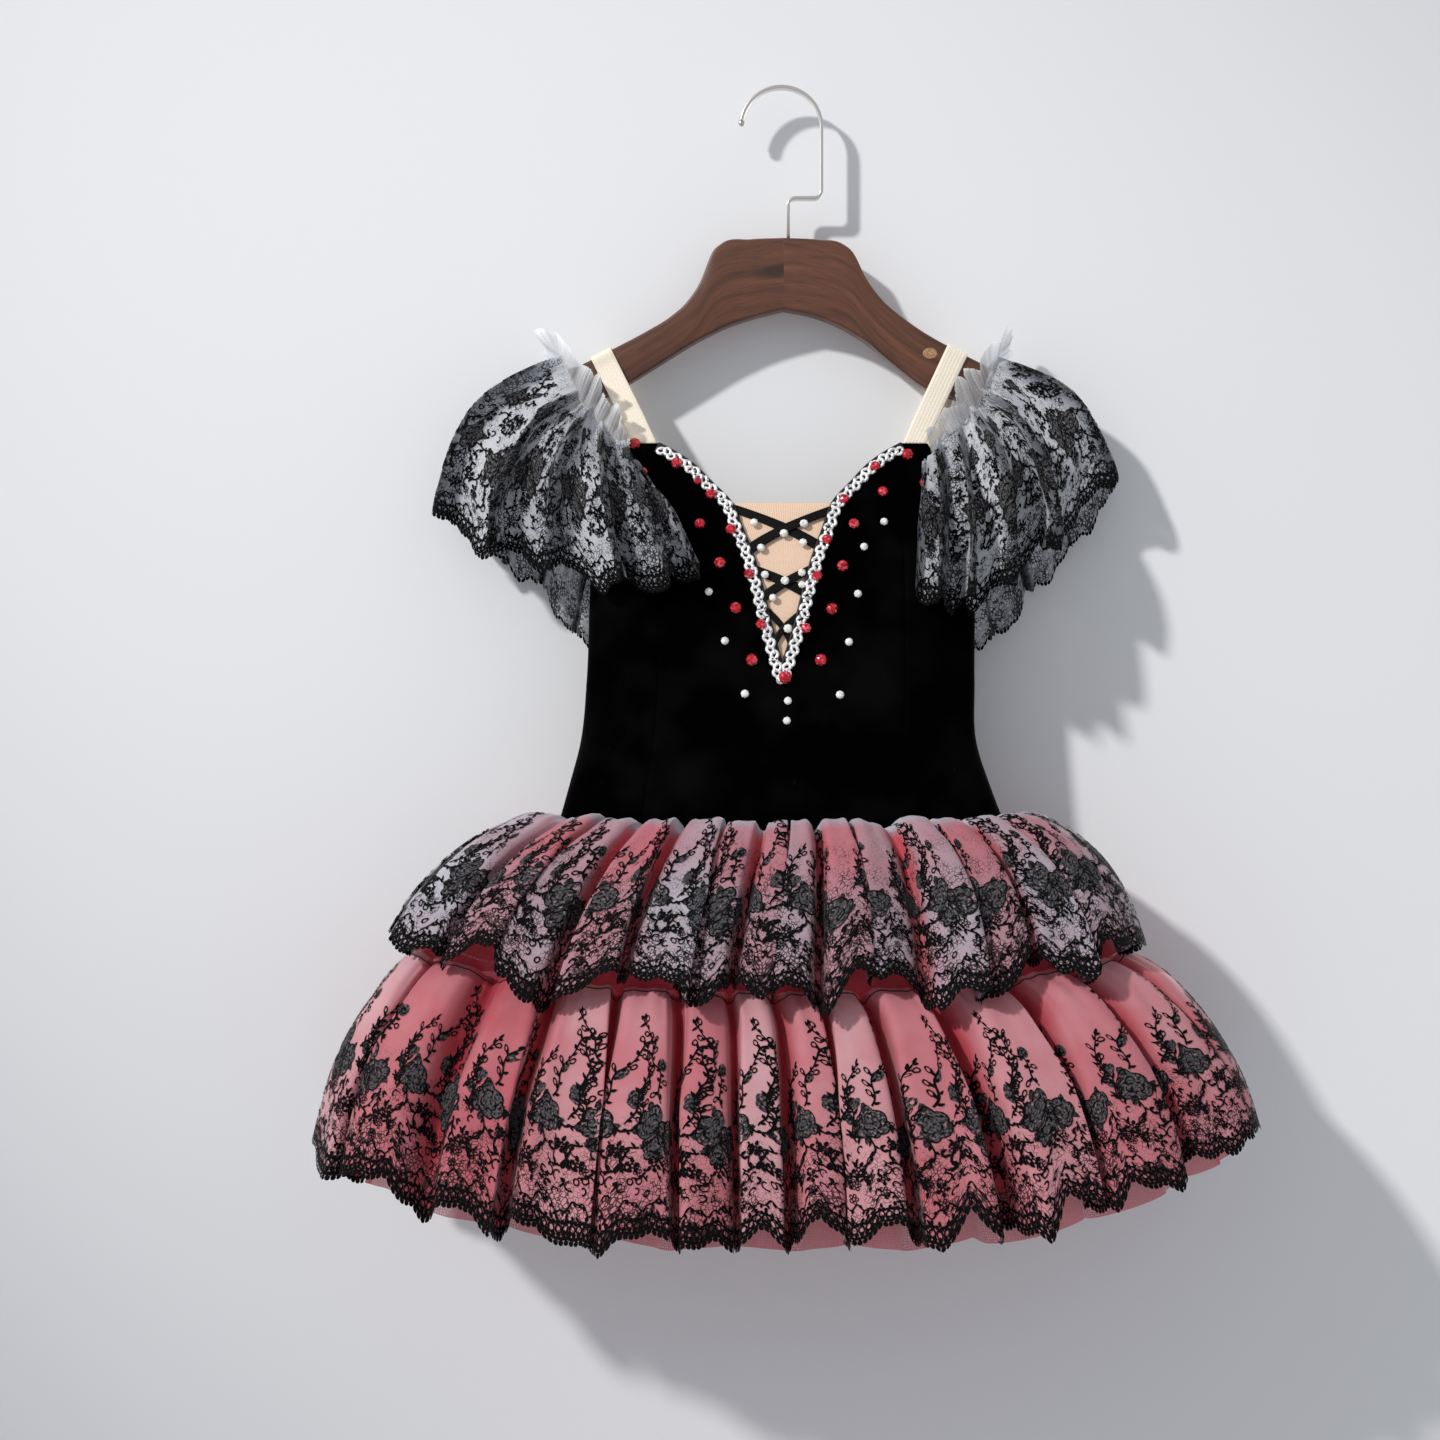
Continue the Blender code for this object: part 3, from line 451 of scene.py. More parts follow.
def plush_elastic():
    """Knitted elastic with a brushed face: ivory, soft, faint ribs along it and a fuzzy edge to its shine."""
    material, tree, shader = new_material("ivory_plush_elastic", Roughness=0.85, Sheen_Weight=0.5,
                                          Sheen_Roughness=0.4)
    cloth = add_node(tree, "UVMap", uv_map="Cloth")
    rib_mm = 1.1
    ribs = add_node(tree, "TexWave", {"Vector": cloth, "Scale": 1000 / rib_mm / WAVE_TURN, "Distortion": 0.6},
                    bands_direction="X")
    fuzz = add_node(tree, "TexNoise", {"Vector": cloth, "Scale": 1400.0, "Detail": 2.0})
    height = add_node(tree, "Math", {0: ribs.outputs["Fac"], 1: fuzz}, operation="ADD")
    tone = add_node(tree, "ValToRGB", {"Fac": fuzz}, stops=[(0.3, "#e2d2ba"), (0.7, "#fbf4e6")])
    bump = add_node(tree, "Bump", {"Height": height, "Strength": 0.35, "Distance": 0.0003})
    wire(shader, {"Base Color": tone, "Normal": bump})
    return material


PLUSH = plush_elastic()
for tag, side, arm, board in (("l", -1, LEFT_ARM, "board_left"), ("r", 1, RIGHT_ARM, "board_right")):
    points = strap_grid(side, arm)
    strap = place(closed_wall("elastic_strap_" + tag, points, ELASTIC, uv=flat_places(points)),
                  PLUSH, "elastic", "strap_" + tag)
    declare_cloth(points)

# ---- Bodice ---------------------------------------------------------------------------------------------
# Black stretch velvet in three front panels and a back, sewn right sides together and turned, so the seams
# are narrow grooves. It hangs from the straps, slack at the waist.

VELVET = 1.6
FRONT_SQUARE = 0.80
BACK_SQUARE = 0.62
PRINCESS_SEAM = 0.63
WAIST_DROP = 484.0
WAIST_HALF = 142
SEAM = 0.3
GROOVE_DEEP = 0.9
GROOVE_WIDE = 2.2
BODICE_RADIUS = 110.0
RING_COLUMNS = "level front_drop side_drop back_drop middle half_width front side back wave"
BODICE = table(RING_COLUMNS, [(drop, drop, drop, drop, *row, 0) for drop, *row in (
    (236, -6.0, 113.0, -24, -14, -5),
    (262, -5.5, 118.0, -34, -20, -5),
    (290, -5.0, 121.5, -46, -26, -6),
    (338, -5.0, 123.3, -60, -34, -6),
    (390, -6.0, 124.0, -68, -37, -6),
    (432, -7.5, 126.6, -75, -40, -6),
    (455, -7.0, 133.0, -79, -42, -6),
    (WAIST_DROP, -5.5, 142.5, -84, -44, -5),
)])
# Neckline and armhole: part of the half width from the middle, and the drop there.
FRONT_TOP = table("across drop", [
    (0.000, 383.0), (0.066, 355.0), (0.114, 331.0), (0.155, 313.0), (0.215, 294.0), (0.278, 276.0),
    (0.379, 263.5), (0.500, 250.0), (0.630, 240.5), (0.700, 236.5), (0.850, 236.5), (0.905, 252.0),
    (0.945, 275.0), (0.975, 298.0), (1.000, 314.0),
])
BACK_TOP = table("across drop", [
    (0.00, 296.0), (0.30, 293.0), (0.55, 284.0), (0.68, 276.5), (0.83, 276.5), (0.90, 288.0), (1.00, 314.0),
])


def tube(rings, turn, level):
    """Point on a tube of sections. turn is the angle from the front middle towards +X.

    Each section is a rounded oblong: half width to the sides, its own depth to the front and back,
    and a drop that goes from the side's to the front's or back's with the square of the cosine.
    """
    value = columns_at(rings, level)
    sine, cosine = np.sin(turn), np.cos(turn)
    front = cosine > 0
    square = np.where(front, FRONT_SQUARE, BACK_SQUARE)
    end = np.where(front, value["front"], value["back"])
    end_drop = np.where(front, value["front_drop"], value["back_drop"])
    x = value["middle"] + value["half_width"] * np.sign(sine) * np.abs(sine) ** square
    y = value["side"] + (end - value["side"]) * np.abs(cosine) ** square
    drop = value["side_drop"] + (end_drop - value["side_drop"]) * cosine**2
    return np.stack([x, y, -drop], axis=-1)


def turn_of(across, back=False):
    """Angle at which a section reaches that part of its half width."""
    square = BACK_SQUARE if back else FRONT_SQUARE
    angle = np.sign(across) * np.arcsin(np.clip(np.abs(across), 0, 1) ** (1 / square))
    return math.pi - angle if back else angle


# Soft creases of the velvet: where each starts and ends, across and down in millimetres, its depth and width.
CREASES = table("x0 drop0 x1 drop1 deep wide", [
    (-100, 398, -92, 427, 1.6, 5), (-118, 432, -86, 446, 1.4, 5), (-122, 452, -78, 470, 1.6, 6),
    (-64, 430, -50, 476, 0.9, 7), (46, 428, 34, 478, 0.9, 7), (92, 436, 118, 462, 1.6, 6),
    (76, 452, 112, 478, 1.2, 6), (88, 380, 96, 430, 1.0, 7), (-20, 440, 20, 470, 0.5, 9),
])


def creased(points, creases):
    """How far creases press each point in: soft troughs round line pieces, with a low ridge on each side."""
    x, drop = points[..., 0], -points[..., 2]
    press = np.zeros_like(x)
    for x0, d0, x1, d1, deep, wide in zip(*creases.values()):
        run = np.array([x1 - x0, d1 - d0])
        along = ((x - x0) * run[0] + (drop - d0) * run[1]) / (run @ run)
        near = np.clip(along, 0, 1)
        away = np.hypot(x - x0 - near * run[0], drop - d0 - near * run[1]) / wide
        press += deep * (1 - 0.9 * away**2) * np.exp(-(away**2))
    return press


def velvet_panel(angles, seams, back):
    """Grid of a panel from its top line to the waist; its seams sink in and the creases press it in."""
    u, v = np.meshgrid(angles, np.linspace(0, 1, 70))
    top_line, square = (BACK_TOP, BACK_SQUARE) if back else (FRONT_TOP, FRONT_SQUARE)
    top = np.interp(np.abs(np.sin(u)) ** square, top_line["across"], top_line["drop"])
    points = tube(BODICE, u, top + (WAIST_DROP - top) * v)
    press = 0.0 * u if back else creased(points, CREASES)
    for seam in seams:
        press = press + GROOVE_DEEP * np.exp(-((np.abs(u - seam) * BODICE_RADIUS / GROOVE_WIDE) ** 2))
    return points - grid_normals(points) * press[..., None]


def black_velvet():
    """Cut pile of viscose on a stretch back: swallows light, with a faint bloom where it turns away, and
    faint lighter streaks painted at random into its black as sheen.
    """
    material, tree, shader = new_material("black_velvet", Roughness=1.0, Specular_IOR_Level=0.02,
                                          Sheen_Weight=0.006, Sheen_Roughness=0.35)
    place_on = add_node(tree, "TexCoord").outputs["Object"]
    pile_mm = 2.4
    pile = add_node(tree, "TexNoise", {"Vector": place_on, "Scale": 1000 / pile_mm, "Detail": 3.0})
    painted_sheen_streaks = add_node(tree, "TexNoise", {"Vector": place_on, "Scale": 22.0, "Detail": 2.0})
    # Painted sheen: random faint lighter streaks in the black base colour.
    tone = add_node(tree, "ValToRGB", {"Fac": painted_sheen_streaks}, stops=[(0.48, "#000000"), (0.72, "#090808")])
    bump = add_node(tree, "Bump", {"Height": pile, "Strength": 0.3, "Distance": 0.0004})
    wire(shader, {"Base Color": tone, "Normal": bump})
    return material


def angles_with(start, end, count, cuts):
    """Evenly spread angles with the outline's own corners among them."""
    inside = cuts[(cuts > start) & (cuts < end)]
    return np.unique(np.concatenate([np.linspace(start, end, count), inside]))


BLACK_VELVET = black_velvet()
# The seams as angles from the front middle: each panel ends just short of its own.
princess, quarter = float(turn_of(PRINCESS_SEAM)), math.pi / 2
seam_gap = SEAM / WAIST_HALF
front_side, back_side = quarter - 0.002, quarter + 0.0006
front_cuts = turn_of(FRONT_TOP["across"][1:-1])
front_cuts = np.concatenate([-front_cuts, front_cuts, [0.0]])
back_cuts = turn_of(BACK_TOP["across"][1:-1], back=True)
back_cuts = np.concatenate([back_cuts, 2 * math.pi - back_cuts])
# Each panel: where it starts and ends, its number of columns, the outline's corners, and its two seams.
for tag, start, end, columns, cuts, *seams in (
        ("front_centre", seam_gap - princess, princess - seam_gap, 90, front_cuts, -princess, princess),
        ("side_front_l", -front_side, -princess - seam_gap, 50, front_cuts, -quarter, -princess),
        ("side_front_r", princess + seam_gap, front_side, 50, front_cuts, princess, quarter),
        ("back", back_side, 2 * math.pi - back_side, 120, back_cuts, quarter, 3 * quarter)):
    points = velvet_panel(angles_with(start, end, columns, cuts), seams, tag == "back")
    panel = place(closed_wall("velvet_" + tag, points, VELVET), BLACK_VELVET, "velvet", "bodice_" + tag)
    declare_cloth(points)

# ---- Neck insert ----------------------------------------------------------------------------------------
# Nude power mesh behind the neck opening, its top turned over and its edges caught under the velvet's.

INSERT_TOP = 275.5
INSERT_BOTTOM = 391.0
INSERT_TUCK = 6.0
INSERT_GAP = 1.0
MESH = 1.0


def bodice_middle(drop):
    """Middle of the bodice, and of its neck opening, at that drop."""
    return through(BODICE["level"], BODICE["middle"], drop)


def bodice_half(drop):
    """Half the bodice's width at that drop."""
    return through(BODICE["level"], BODICE["half_width"], drop)


def opening_half(drop):
    """Half the width of the neck opening at that drop, from the first nine rows of the front's top."""
    return np.interp(drop, FRONT_TOP["drop"][8::-1], FRONT_TOP["across"][8::-1]) * bodice_half(drop)


def on_front(x, drop):
    """Point of the front's middle surface at that place seen from the front."""
    return tube(BODICE, turn_of((x - bodice_middle(drop)) / bodice_half(drop)), drop)


def in_opening(u, drop, tuck):
    """Point of the front from the opening's left edge (-1) to its right (1), each tucked under that far."""
    return on_front(bodice_middle(drop) + u * (opening_half(drop) + tuck), drop)


def power_mesh():
    """Fine nylon mesh, nude, smooth under tension: small even holes and a soft shine."""
    material, tree, shader = new_material("nude_power_mesh", Roughness=0.6)
    cloth = add_node(tree, "UVMap", uv_map="Cloth")
    hole_mm = 0.8
    holes = add_node(tree, "TexVoronoi", {"Vector": cloth, "Scale": 1000 / hole_mm, "Randomness": 0.2})
    tone = add_node(tree, "ValToRGB", {"Fac": holes}, stops=[(0.15, "#c49c7e"), (0.4, "#e8cab1")])
    bump = add_node(tree, "Bump", {"Height": holes, "Strength": 0.25, "Distance": 0.0002})
    wire(shader, {"Base Color": tone, "Normal": bump})
    return material


u, v = np.meshgrid(np.linspace(-1, 1, 41), np.linspace(0, 1, 61))
points = in_opening(u, INSERT_TOP + (INSERT_BOTTOM - INSERT_TOP) * v, INSERT_TUCK)
under_velvet = -(VELVET / 2 + INSERT_GAP + MESH / 2)
insert = place(closed_wall("mesh_insert", points, MESH, under_velvet, flat_places(points)),
               power_mesh(), "mesh", "front_insert")
declare_cloth(points)

# ---- Lacing ---------------------------------------------------------------------------------------------
# Black satin ribbons, 6 mm wide, in crossed pairs over the mesh, their ends caught under the velvet's edge.

RIBBON = 0.7
RIBBON_ROOM = 1.0
RIBBON_WIDTH = 6.2
RIBBON_TUCK = 1.2
# Drop at the left and right edge of the opening, and which of the two lies on top.
LACING = table("left_drop right_drop on_top", [
    (279, 305, 0), (308, 281, 1), (320, 335, 0), (339, 320, 1), (345, 370, 0), (369, 349, 1),
])


def satin_ribbon():
    """Woven satin: black, with a shine that runs along the ribbon and fine cross ribs at its edges."""
    material, tree, shader = new_material("black_satin_ribbon", Base_Color=linear("#040303"), Roughness=0.5,
                                          Specular_IOR_Level=0.14)
    cloth = add_node(tree, "UVMap", uv_map="Cloth")
    rib_mm = 0.6
    ribs = add_node(tree, "TexWave", {"Vector": cloth, "Scale": 1000 / rib_mm / WAVE_TURN},
                    bands_direction="X")
    bump = add_node(tree, "Bump", {"Height": ribs.outputs["Fac"], "Strength": 0.2, "Distance": 0.0002})
    wire(shader, {"Normal": bump})
    return material


SATIN = satin_ribbon()
under = SEAM + RIBBON_ROOM / 2 - (VELVET / 2 + INSERT_GAP)
u, v = np.meshgrid(np.linspace(-1, 1, 41), np.linspace(-1, 1, 7))
for i, (left, right, on_top) in enumerate(zip(*LACING.values())):
    drop = (left + right) / 2 + (right - left) / 2 * u + v * RIBBON_WIDTH / 2
    points = in_opening(u, drop, RIBBON_TUCK)
    name = "lacing_" + str(i // 2 + 1) + "ab"[i % 2]
    out = under + on_top * (RIBBON_ROOM + SEAM)
    place(closed_wall("satin_" + name, points, RIBBON, out, flat_places(points)), SATIN, "ribbon", name)

# ---- Neck braid -----------------------------------------------------------------------------------------
# Silver-white sequin braid sewn along both edges of the opening: a chain of small scalloped cups in two
# rows on a tape. A narrow black binding finishes the velvet's edge inside it.

BRAID_OFF = 0.5
BRAID_WIDTH = 5.6
TAPE = 0.5
TAPE_OUT = 0.3
PAST_POINT = 7.0
CUP_PITCH = 3.9
CUP_OFF = 3.4
CUP_SWAY = 0.7
CUP_LIFT = 1.1
CUP_HALVES = (2.6, 1.95)
CUP_WIRE = 1.12
BINDING_RADIUS = 1.0
BINDING_OFF = -0.4


def neck_edge():
    """The opening's edge, carried on past the V's point: half width, drop and the way off it, by length."""
    d = FRONT_TOP["drop"][:10].copy()
    h = FRONT_TOP["across"][:10] * bodice_half(d)
    h[0] -= (h[1] - h[0]) * PAST_POINT / (d[0] - d[1])
    d[0] += PAST_POINT
    length = so_far(np.hypot(np.diff(h), np.diff(d)))
    at = np.linspace(0, 1, 300) * length[-1]
    d, h = through(length, d, at), through(length, h, at)
    slope_out, slope_down = np.gradient(h, at), np.gradient(d, at)
    size = np.hypot(slope_out, slope_down)
    return {"at": at, "half": h, "drop": d, "way_out": -slope_down / size, "way_down": slope_out / size}


NECK = neck_edge()


def by_neck(side, along, off):
    """Point of the front at a distance along the neck edge and off it, on to the velvet."""
    half, drop, way_out, way_down = (np.interp(along, NECK["at"], NECK[key])
                                     for key in ("half", "drop", "way_out", "way_down"))
    drop = drop + off * way_down
    return on_front(bodice_middle(drop) + side * (half + off * way_out), drop)


def rings_on(name, centres, normals, along, halves, thick, around=14, section=6):
    """A ring at each centre, flat on the surface: an ellipse along the path, with a round section."""
    a, b = full_turn(around)[None, :, None, None], full_turn(section)[None, None, :, None]
    e1, e2, e3 = (way[:, None, None, :] for way in (along, np.cross(normals, along), normals))
    reach = thick * np.cos(b)
    points = (centres[:, None, None, :] + e1 * np.cos(a) * (halves[0] + reach)
              + e2 * np.sin(a) * (halves[1] + reach) + e3 * thick * np.sin(b))
    one = grid_faces(around + 1, section, loop=True) % (around * section)
    faces = (np.arange(len(centres))[:, None, None] * around * section + one[None]).reshape(-1, 4)
    return close_up(make_mesh(name, points, faces))


def tube_along(name, path, radius, section=8):
    """A round cord carried along a path, with its two ends closed."""
    step = unit(np.gradient(path, axis=0))
    lift = unit(np.cross(step, [0.0, 1.0, 0.0]))
    b = full_turn(section)[None, :, None]
    points = path[:, None] + radius * (np.cos(b) * lift[:, None] + np.sin(b) * np.cross(step, lift)[:, None])
    return close_up(make_mesh(name, points, grid_faces(len(path), section, loop=True)), section)


def sequin_thread():
    """Silver-white lurex cups: plastic film with a soft metallic shine, its colour random flecks from dark
    grey to white that are painted glints and painted dark reflections.
    """
    material, tree, shader = new_material("silver_sequin_braid", Metallic=0.25, Roughness=0.3)
    place_on = add_node(tree, "TexCoord").outputs["Object"]
    fleck_mm = 1.2
    painted_glint_flecks = add_node(tree, "TexVoronoi", {"Vector": place_on, "Scale": 1000 / fleck_mm})
    # Painted glints and reflections: each small cell a random tone from dark grey to white.
    wire(shader, {"Base Color": add_node(tree, "ValToRGB", {"Fac": painted_glint_flecks.outputs["Color"]}, stops=[
        (0.12, "#2c2c2f"), (0.3, "#dcdcdf"), (0.6, "#ffffff")])})
    return material


def cotton_binding():
    """Woven cotton tape, black and matt, with the small grain of its weave."""
    material, tree, shader = new_material("black_binding", Base_Color=linear("#070707"), Roughness=0.6)
    place_on = add_node(tree, "TexCoord").outputs["Object"]
    weave = add_node(tree, "TexNoise", {"Vector": place_on, "Scale": 1200.0})
    wire(shader, {"Normal": add_node(tree, "Bump", {"Height": weave, "Strength": 0.4, "Distance": 0.0002})})
    return material


SEQUIN = sequin_thread()
BINDING = cotton_binding()
edge_length = NECK["at"][-1]
row = np.arange(0.4, edge_length - 1, CUP_PITCH)
turned = np.where(np.arange(len(row)) % 2, 1.0, -1.0)
off = CUP_OFF + CUP_SWAY * turned
tape_out = VELVET / 2 + SEAM + TAPE_OUT
step = 0.3
for tag, side in (("l", -1), ("r", 1)):
    u, v = np.meshgrid(np.linspace(PAST_POINT + 4.5, edge_length - 0.5, 120),
                       np.linspace(BRAID_OFF, BRAID_OFF + BRAID_WIDTH, 5))
    place(closed_wall("braid_tape_" + tag, by_neck(side, u, v), TAPE, tape_out * side),
          BINDING, "braid", "neck_trim_" + tag)
    ahead = unit(by_neck(side, row + step, off) - by_neck(side, row - step, off))
    normals = unit(np.cross(ahead, by_neck(side, row, off + step) - by_neck(side, row, off - step)))
    normals *= np.where(normals[:, 1:2] > 0, -1, 1)
    lifted = by_neck(side, row, off) + normals * (VELVET / 2 + SEAM + CUP_LIFT)
    tilt = unit(ahead + CUP_SWAY * np.cross(normals, ahead) * turned[:, None])
    place(rings_on("braid_cups_" + tag, lifted, normals, tilt, CUP_HALVES, CUP_WIRE), SEQUIN, "braid")
    path = by_neck(side, np.linspace(PAST_POINT + 1.5, edge_length, 160), BINDING_OFF)
    place(tube_along("edge_binding_" + tag, path, BINDING_RADIUS), BINDING, "velvet")

# ---- Stones ---------------------------------------------------------------------------------------------
# Cut glass stones glued to the braid, velvet and ribbons: red ones 8 mm across and clear ones 5 mm, each a
# dome of flat facets round a small table.

# Middle of each stone seen from the front: across, drop, how far it stands out, and half its width.
RED_STONES = table("x drop out radius", [
    (-100.3, 236.9, 1.6, 4.0), (-72.8, 251.0, 3.0, 3.9), (-59.2, 263.2, 3.0, 2.6), (-50.8, 272.0, 3.0, 3.6),
    (-38.0, 295.3, 3.0, 3.6), (-26.6, 324.0, 3.0, 3.4), (-19.1, 356.0, 3.0, 3.4), (-4.0, 389.6, 2.6, 4.3),
    (76.3, 244.2, 1.6, 4.0), (55.2, 253.1, 3.0, 3.4), (34.6, 275.4, 3.0, 3.4), (23.2, 301.9, 3.0, 3.4),
    (16.5, 325.3, 3.0, 3.4), (9.3, 358.5, 3.0, 3.4),
    (-57.8, 290.7, 0.9, 3.6), (-45.0, 316.2, 0.9, 3.8), (-34.9, 345.2, 0.9, 3.8), (-24.8, 378.2, 0.9, 4.0),
    (59.9, 269.2, 0.9, 3.6), (40.7, 290.7, 0.9, 3.6), (33.1, 318.2, 0.9, 3.8), (25.8, 345.8, 0.9, 3.8),
    (18.7, 378.2, 0.9, 4.0), (-94.8, 255.6, 0.9, 3.2), (86.8, 262.9, 0.9, 3.2),
])
CLEAR_STONES = table("x drop out radius", [
    (-52.0, 334.9, 0.9, 2.6), (-41.8, 366.1, 0.9, 2.6), (-29.3, 399.7, 0.9, 2.7), (60.0, 289.3, 0.9, 2.6),
    (46.8, 305.8, 0.9, 2.6), (42.4, 336.2, 0.9, 2.6), (36.4, 366.8, 0.9, 2.6), (30.5, 400.3, 0.9, 2.7),
    (-2.3, 404.1, 0.9, 2.6), (-3.0, 416.6, 0.9, 2.6),
    (-23.3, 290.1, 1.0, 2.7), (-18.9, 306.5, 1.0, 2.6), (-4.2, 297.3, 1.2, 2.8), (8.7, 290.8, 1.0, 2.8),
    (7.9, 303.2, 1.0, 2.7), (-16.5, 324.0, 1.0, 2.6), (-3.8, 327.9, 1.2, 2.8), (7.0, 322.7, 1.0, 2.6),
    (7.0, 330.4, 1.0, 2.5), (-11.5, 338.8, 1.0, 2.5), (-2.1, 358.4, 1.0, 2.9),
])


def front_normal(x, drop):
    """Unit normal of the front, outwards, from small steps across and down."""
    step = 0.2
    across = on_front(x + step, drop) - on_front(x - step, drop)
    down = on_front(x, drop + step) - on_front(x, drop - step)
    return unit(np.cross(down, across))


def cut_stones(name, where):
    """Faceted domes: for each stone a girdle, a crown of kite and triangle facets, and a small flat table."""
    x, drop = where["x"], where["drop"]
    normal = front_normal(x, drop)
    base = on_front(x, drop) + normal * where["out"][:, None]
    e1 = unit(np.cross(normal, [0.0, 0.0, 1.0]))
    e2 = np.cross(normal, e1)
    n = 8
    rings = []
    for size, height, shift in ((1.0, 0.0, 0.0), (1.0, 0.22, 0.0), (0.78, 0.52, 0.5), (0.42, 0.72, 0.0)):
        a = (np.arange(n) + shift) * (2 * math.pi / n)
        rings.append(np.stack([size * np.cos(a), size * np.sin(a), np.full(n, height)], axis=1))
    one = np.concatenate([*rings, [[0, 0, 0.72], [0, 0, 0]]])[None, :, :, None]
    points = base[:, None] + where["radius"][:, None, None] * (
        one[:, :, 0] * e1[:, None] + one[:, :, 1] * e2[:, None] + one[:, :, 2] * normal[:, None])
    j = np.arange(n)
    k = (j + 1) % n
    tris = np.concatenate([np.stack(np.broadcast_arrays(*corners), 1) for corners in (
        (j, k, n + k), (j, n + k, n + j), (n + j, n + k, 2 * n + j), (n + k, 2 * n + k, 2 * n + j),
        (2 * n + j, 2 * n + k, 3 * n + k), (2 * n + j, 3 * n + k, 3 * n + j), (3 * n + j, 3 * n + k, 4 * n),
        (k, j, 4 * n + 1))])
    faces = (np.arange(len(x))[:, None, None] * points.shape[1] + tris[None]).reshape(-1, 3)
    return close_up(make_mesh(name, points, faces, smooth=False))


def cut_glass(name, colour, edge, painted_glint, foil):
    """Foiled cut glass: clear hard gloss over a mirror back. Its colour is small random patches of edge, a
    painted dark tone, of the colour, and of a painted highlight tone.
    """
    material, tree, shader = new_material(name, Roughness=0.14, IOR=1.5, Metallic=foil, Coat_Weight=0.45,
                                          Coat_Roughness=0.05)
    place_on = add_node(tree, "TexCoord").outputs["Object"]
    painted_glint_mm = 1.5
    painted_glint_cells = add_node(tree, "TexVoronoi", {"Vector": place_on, "Scale": 1000 / painted_glint_mm})
    # Painted shade and highlights: small random patches of the dark edge tone, the colour and the highlight
    # tone.
    wire(shader, {"Base Color": add_node(tree, "ValToRGB", {"Fac": painted_glint_cells.outputs["Color"]}, stops=[
        (0.1, edge), (0.6, colour), (0.95, painted_glint)])})
    return material


# Each look: the stone's colour, its painted dark tone, its painted highlight tone and its foil's metallic
# share.
for name, stones, *look in (("red", RED_STONES, "#dc1a2e", "#7c0616", "#f87d88", 0.45),
                            ("clear", CLEAR_STONES, "#fbfaf6", "#c9c9c8", "#ffffff", 0.12)):
    place(cut_stones(name + "_stones", stones), cut_glass(name + "_cut_glass", *look), "braid")

# ---- Sleeves --------------------------------------------------------------------------------------------
# At each shoulder a flounce of white tulle under black machine lace, gathered on to a thread from the front
# strap end over the shoulder to the back, with its own turned-up heading of bare tulle along the strap.

LACE_REPEAT = 76.0
LACE_SCALLOP = 19.0
SCALLOP_DEPTH = 4.0
LEVEL_ABOVE = 45.0
LACE_LIFT = 0.34
CORD_RAISED = 0.16
FRILL_FOLDS = 13
HEADING_OUT = 2.0
HEADING_DOWN = 0.5
SLEEVE_EDGE = table("at out deep drop", [
    (0.00, 92.0, -26.5, 248.0), (0.10, 103.0, -24.4, 235.0), (0.22, 118.0, -22.0, 221.5),
    (0.40, 132.0, -18.0, 200.0), (0.50, 143.0, -1.0, 174.5), (0.55, 139.0, 11.5, 183.0),
    (0.62, 128.0, 14.0, 202.0), (0.78, 110.5, 11.2, 226.5), (0.90, 101.0, 2.6, 256.0),
    (1.00, 93.0, -5.6, 281.0),
])
RAY_COLUMNS = "at hem_out hem_deep hem_drop puff_out puff_deep puff_up"
LEFT_RAYS = table(RAY_COLUMNS, [
    (0.00, 52, -74, 318, 0, -5, 2),
    (0.12, 74, -78, 328, 2, -8, 4),
    (0.24, 114, -70, 328, 5, -9, 6),
    (0.34, 158, -54, 314, 10, -9, 8),
    (0.43, 202, -34, 302, 14, -6, 12),
    (0.50, 230, -4, 272, 16, 0, 10),
    (0.60, 198, 6, 302, 13, 1, 10),
    (0.74, 160, 8, 326, 6, 1, 10),
    (0.88, 130, 8, 362, 3, 1, 4),
    (1.00, 106, 8, 350, 0, 1, 2),
])
RIGHT_RAYS = table(RAY_COLUMNS, [
    (0.00, 84, -68, 332, 0, -6, 2),
    (0.12, 104, -74, 342, 2, -8, 4),
    (0.24, 124, -70, 340, 5, -9, 6),
    (0.34, 156, -52, 322, 10, -9, 8),
    (0.43, 190, -32, 294, 14, -6, 11),
    (0.50, 229, -4, 246, 12, 0, 8),
    (0.60, 206, 6, 286, 13, 1, 10),
    (0.74, 168, 8, 330, 7, 1, 10),
    (0.88, 138, 8, 363, 3, 1, 4),
    (1.00, 112, 8, 352, 0, 1, 2),
])
FRILL_RAYS = table("at out deep up", [
    (0.00, 0, -7, 5), (0.06, -3, -10, 10), (0.14, -8, -10, 16), (0.22, -10, -10, 20), (0.34, -10, -8, 21),
    (0.41, -7, -7, 21), (0.455, 2, -5, 21), (0.50, 14, -2, 15), (0.54, 16, 2, 9), (0.62, 5, 3, 12),
    (0.78, 0, 3, 8), (1.00, -1, 4, 4),
])
# Ridges of a flounce's folds from front to back: place, height, how far each leans over, how whitely the
# cloth shows on it, which also scales the painted light on the ridge, and how shut the recess after it is.
SLEEVE_FOLDS = table("at stand lean white shut", [
    (0.045, 0.8, 0.0, 0.6, 0.6), (0.150, 1.2, 0.4, 0.5, 0.9), (0.255, 0.9, -0.4, 0.9, 0.5),
    (0.350, 1.3, 0.5, 0.6, 0.9), (0.430, 0.9, -0.3, 0.9, 0.6), (0.505, 1.2, 0.2, 0.8, 0.7),
    (0.600, 1.1, 0.3, 0.6, 0.7), (0.700, 1.0, -0.2, 0.7, 0.6), (0.800, 1.1, 0.3, 0.6, 0.7),
    (0.910, 0.9, 0.0, 0.6, 0.7),
])
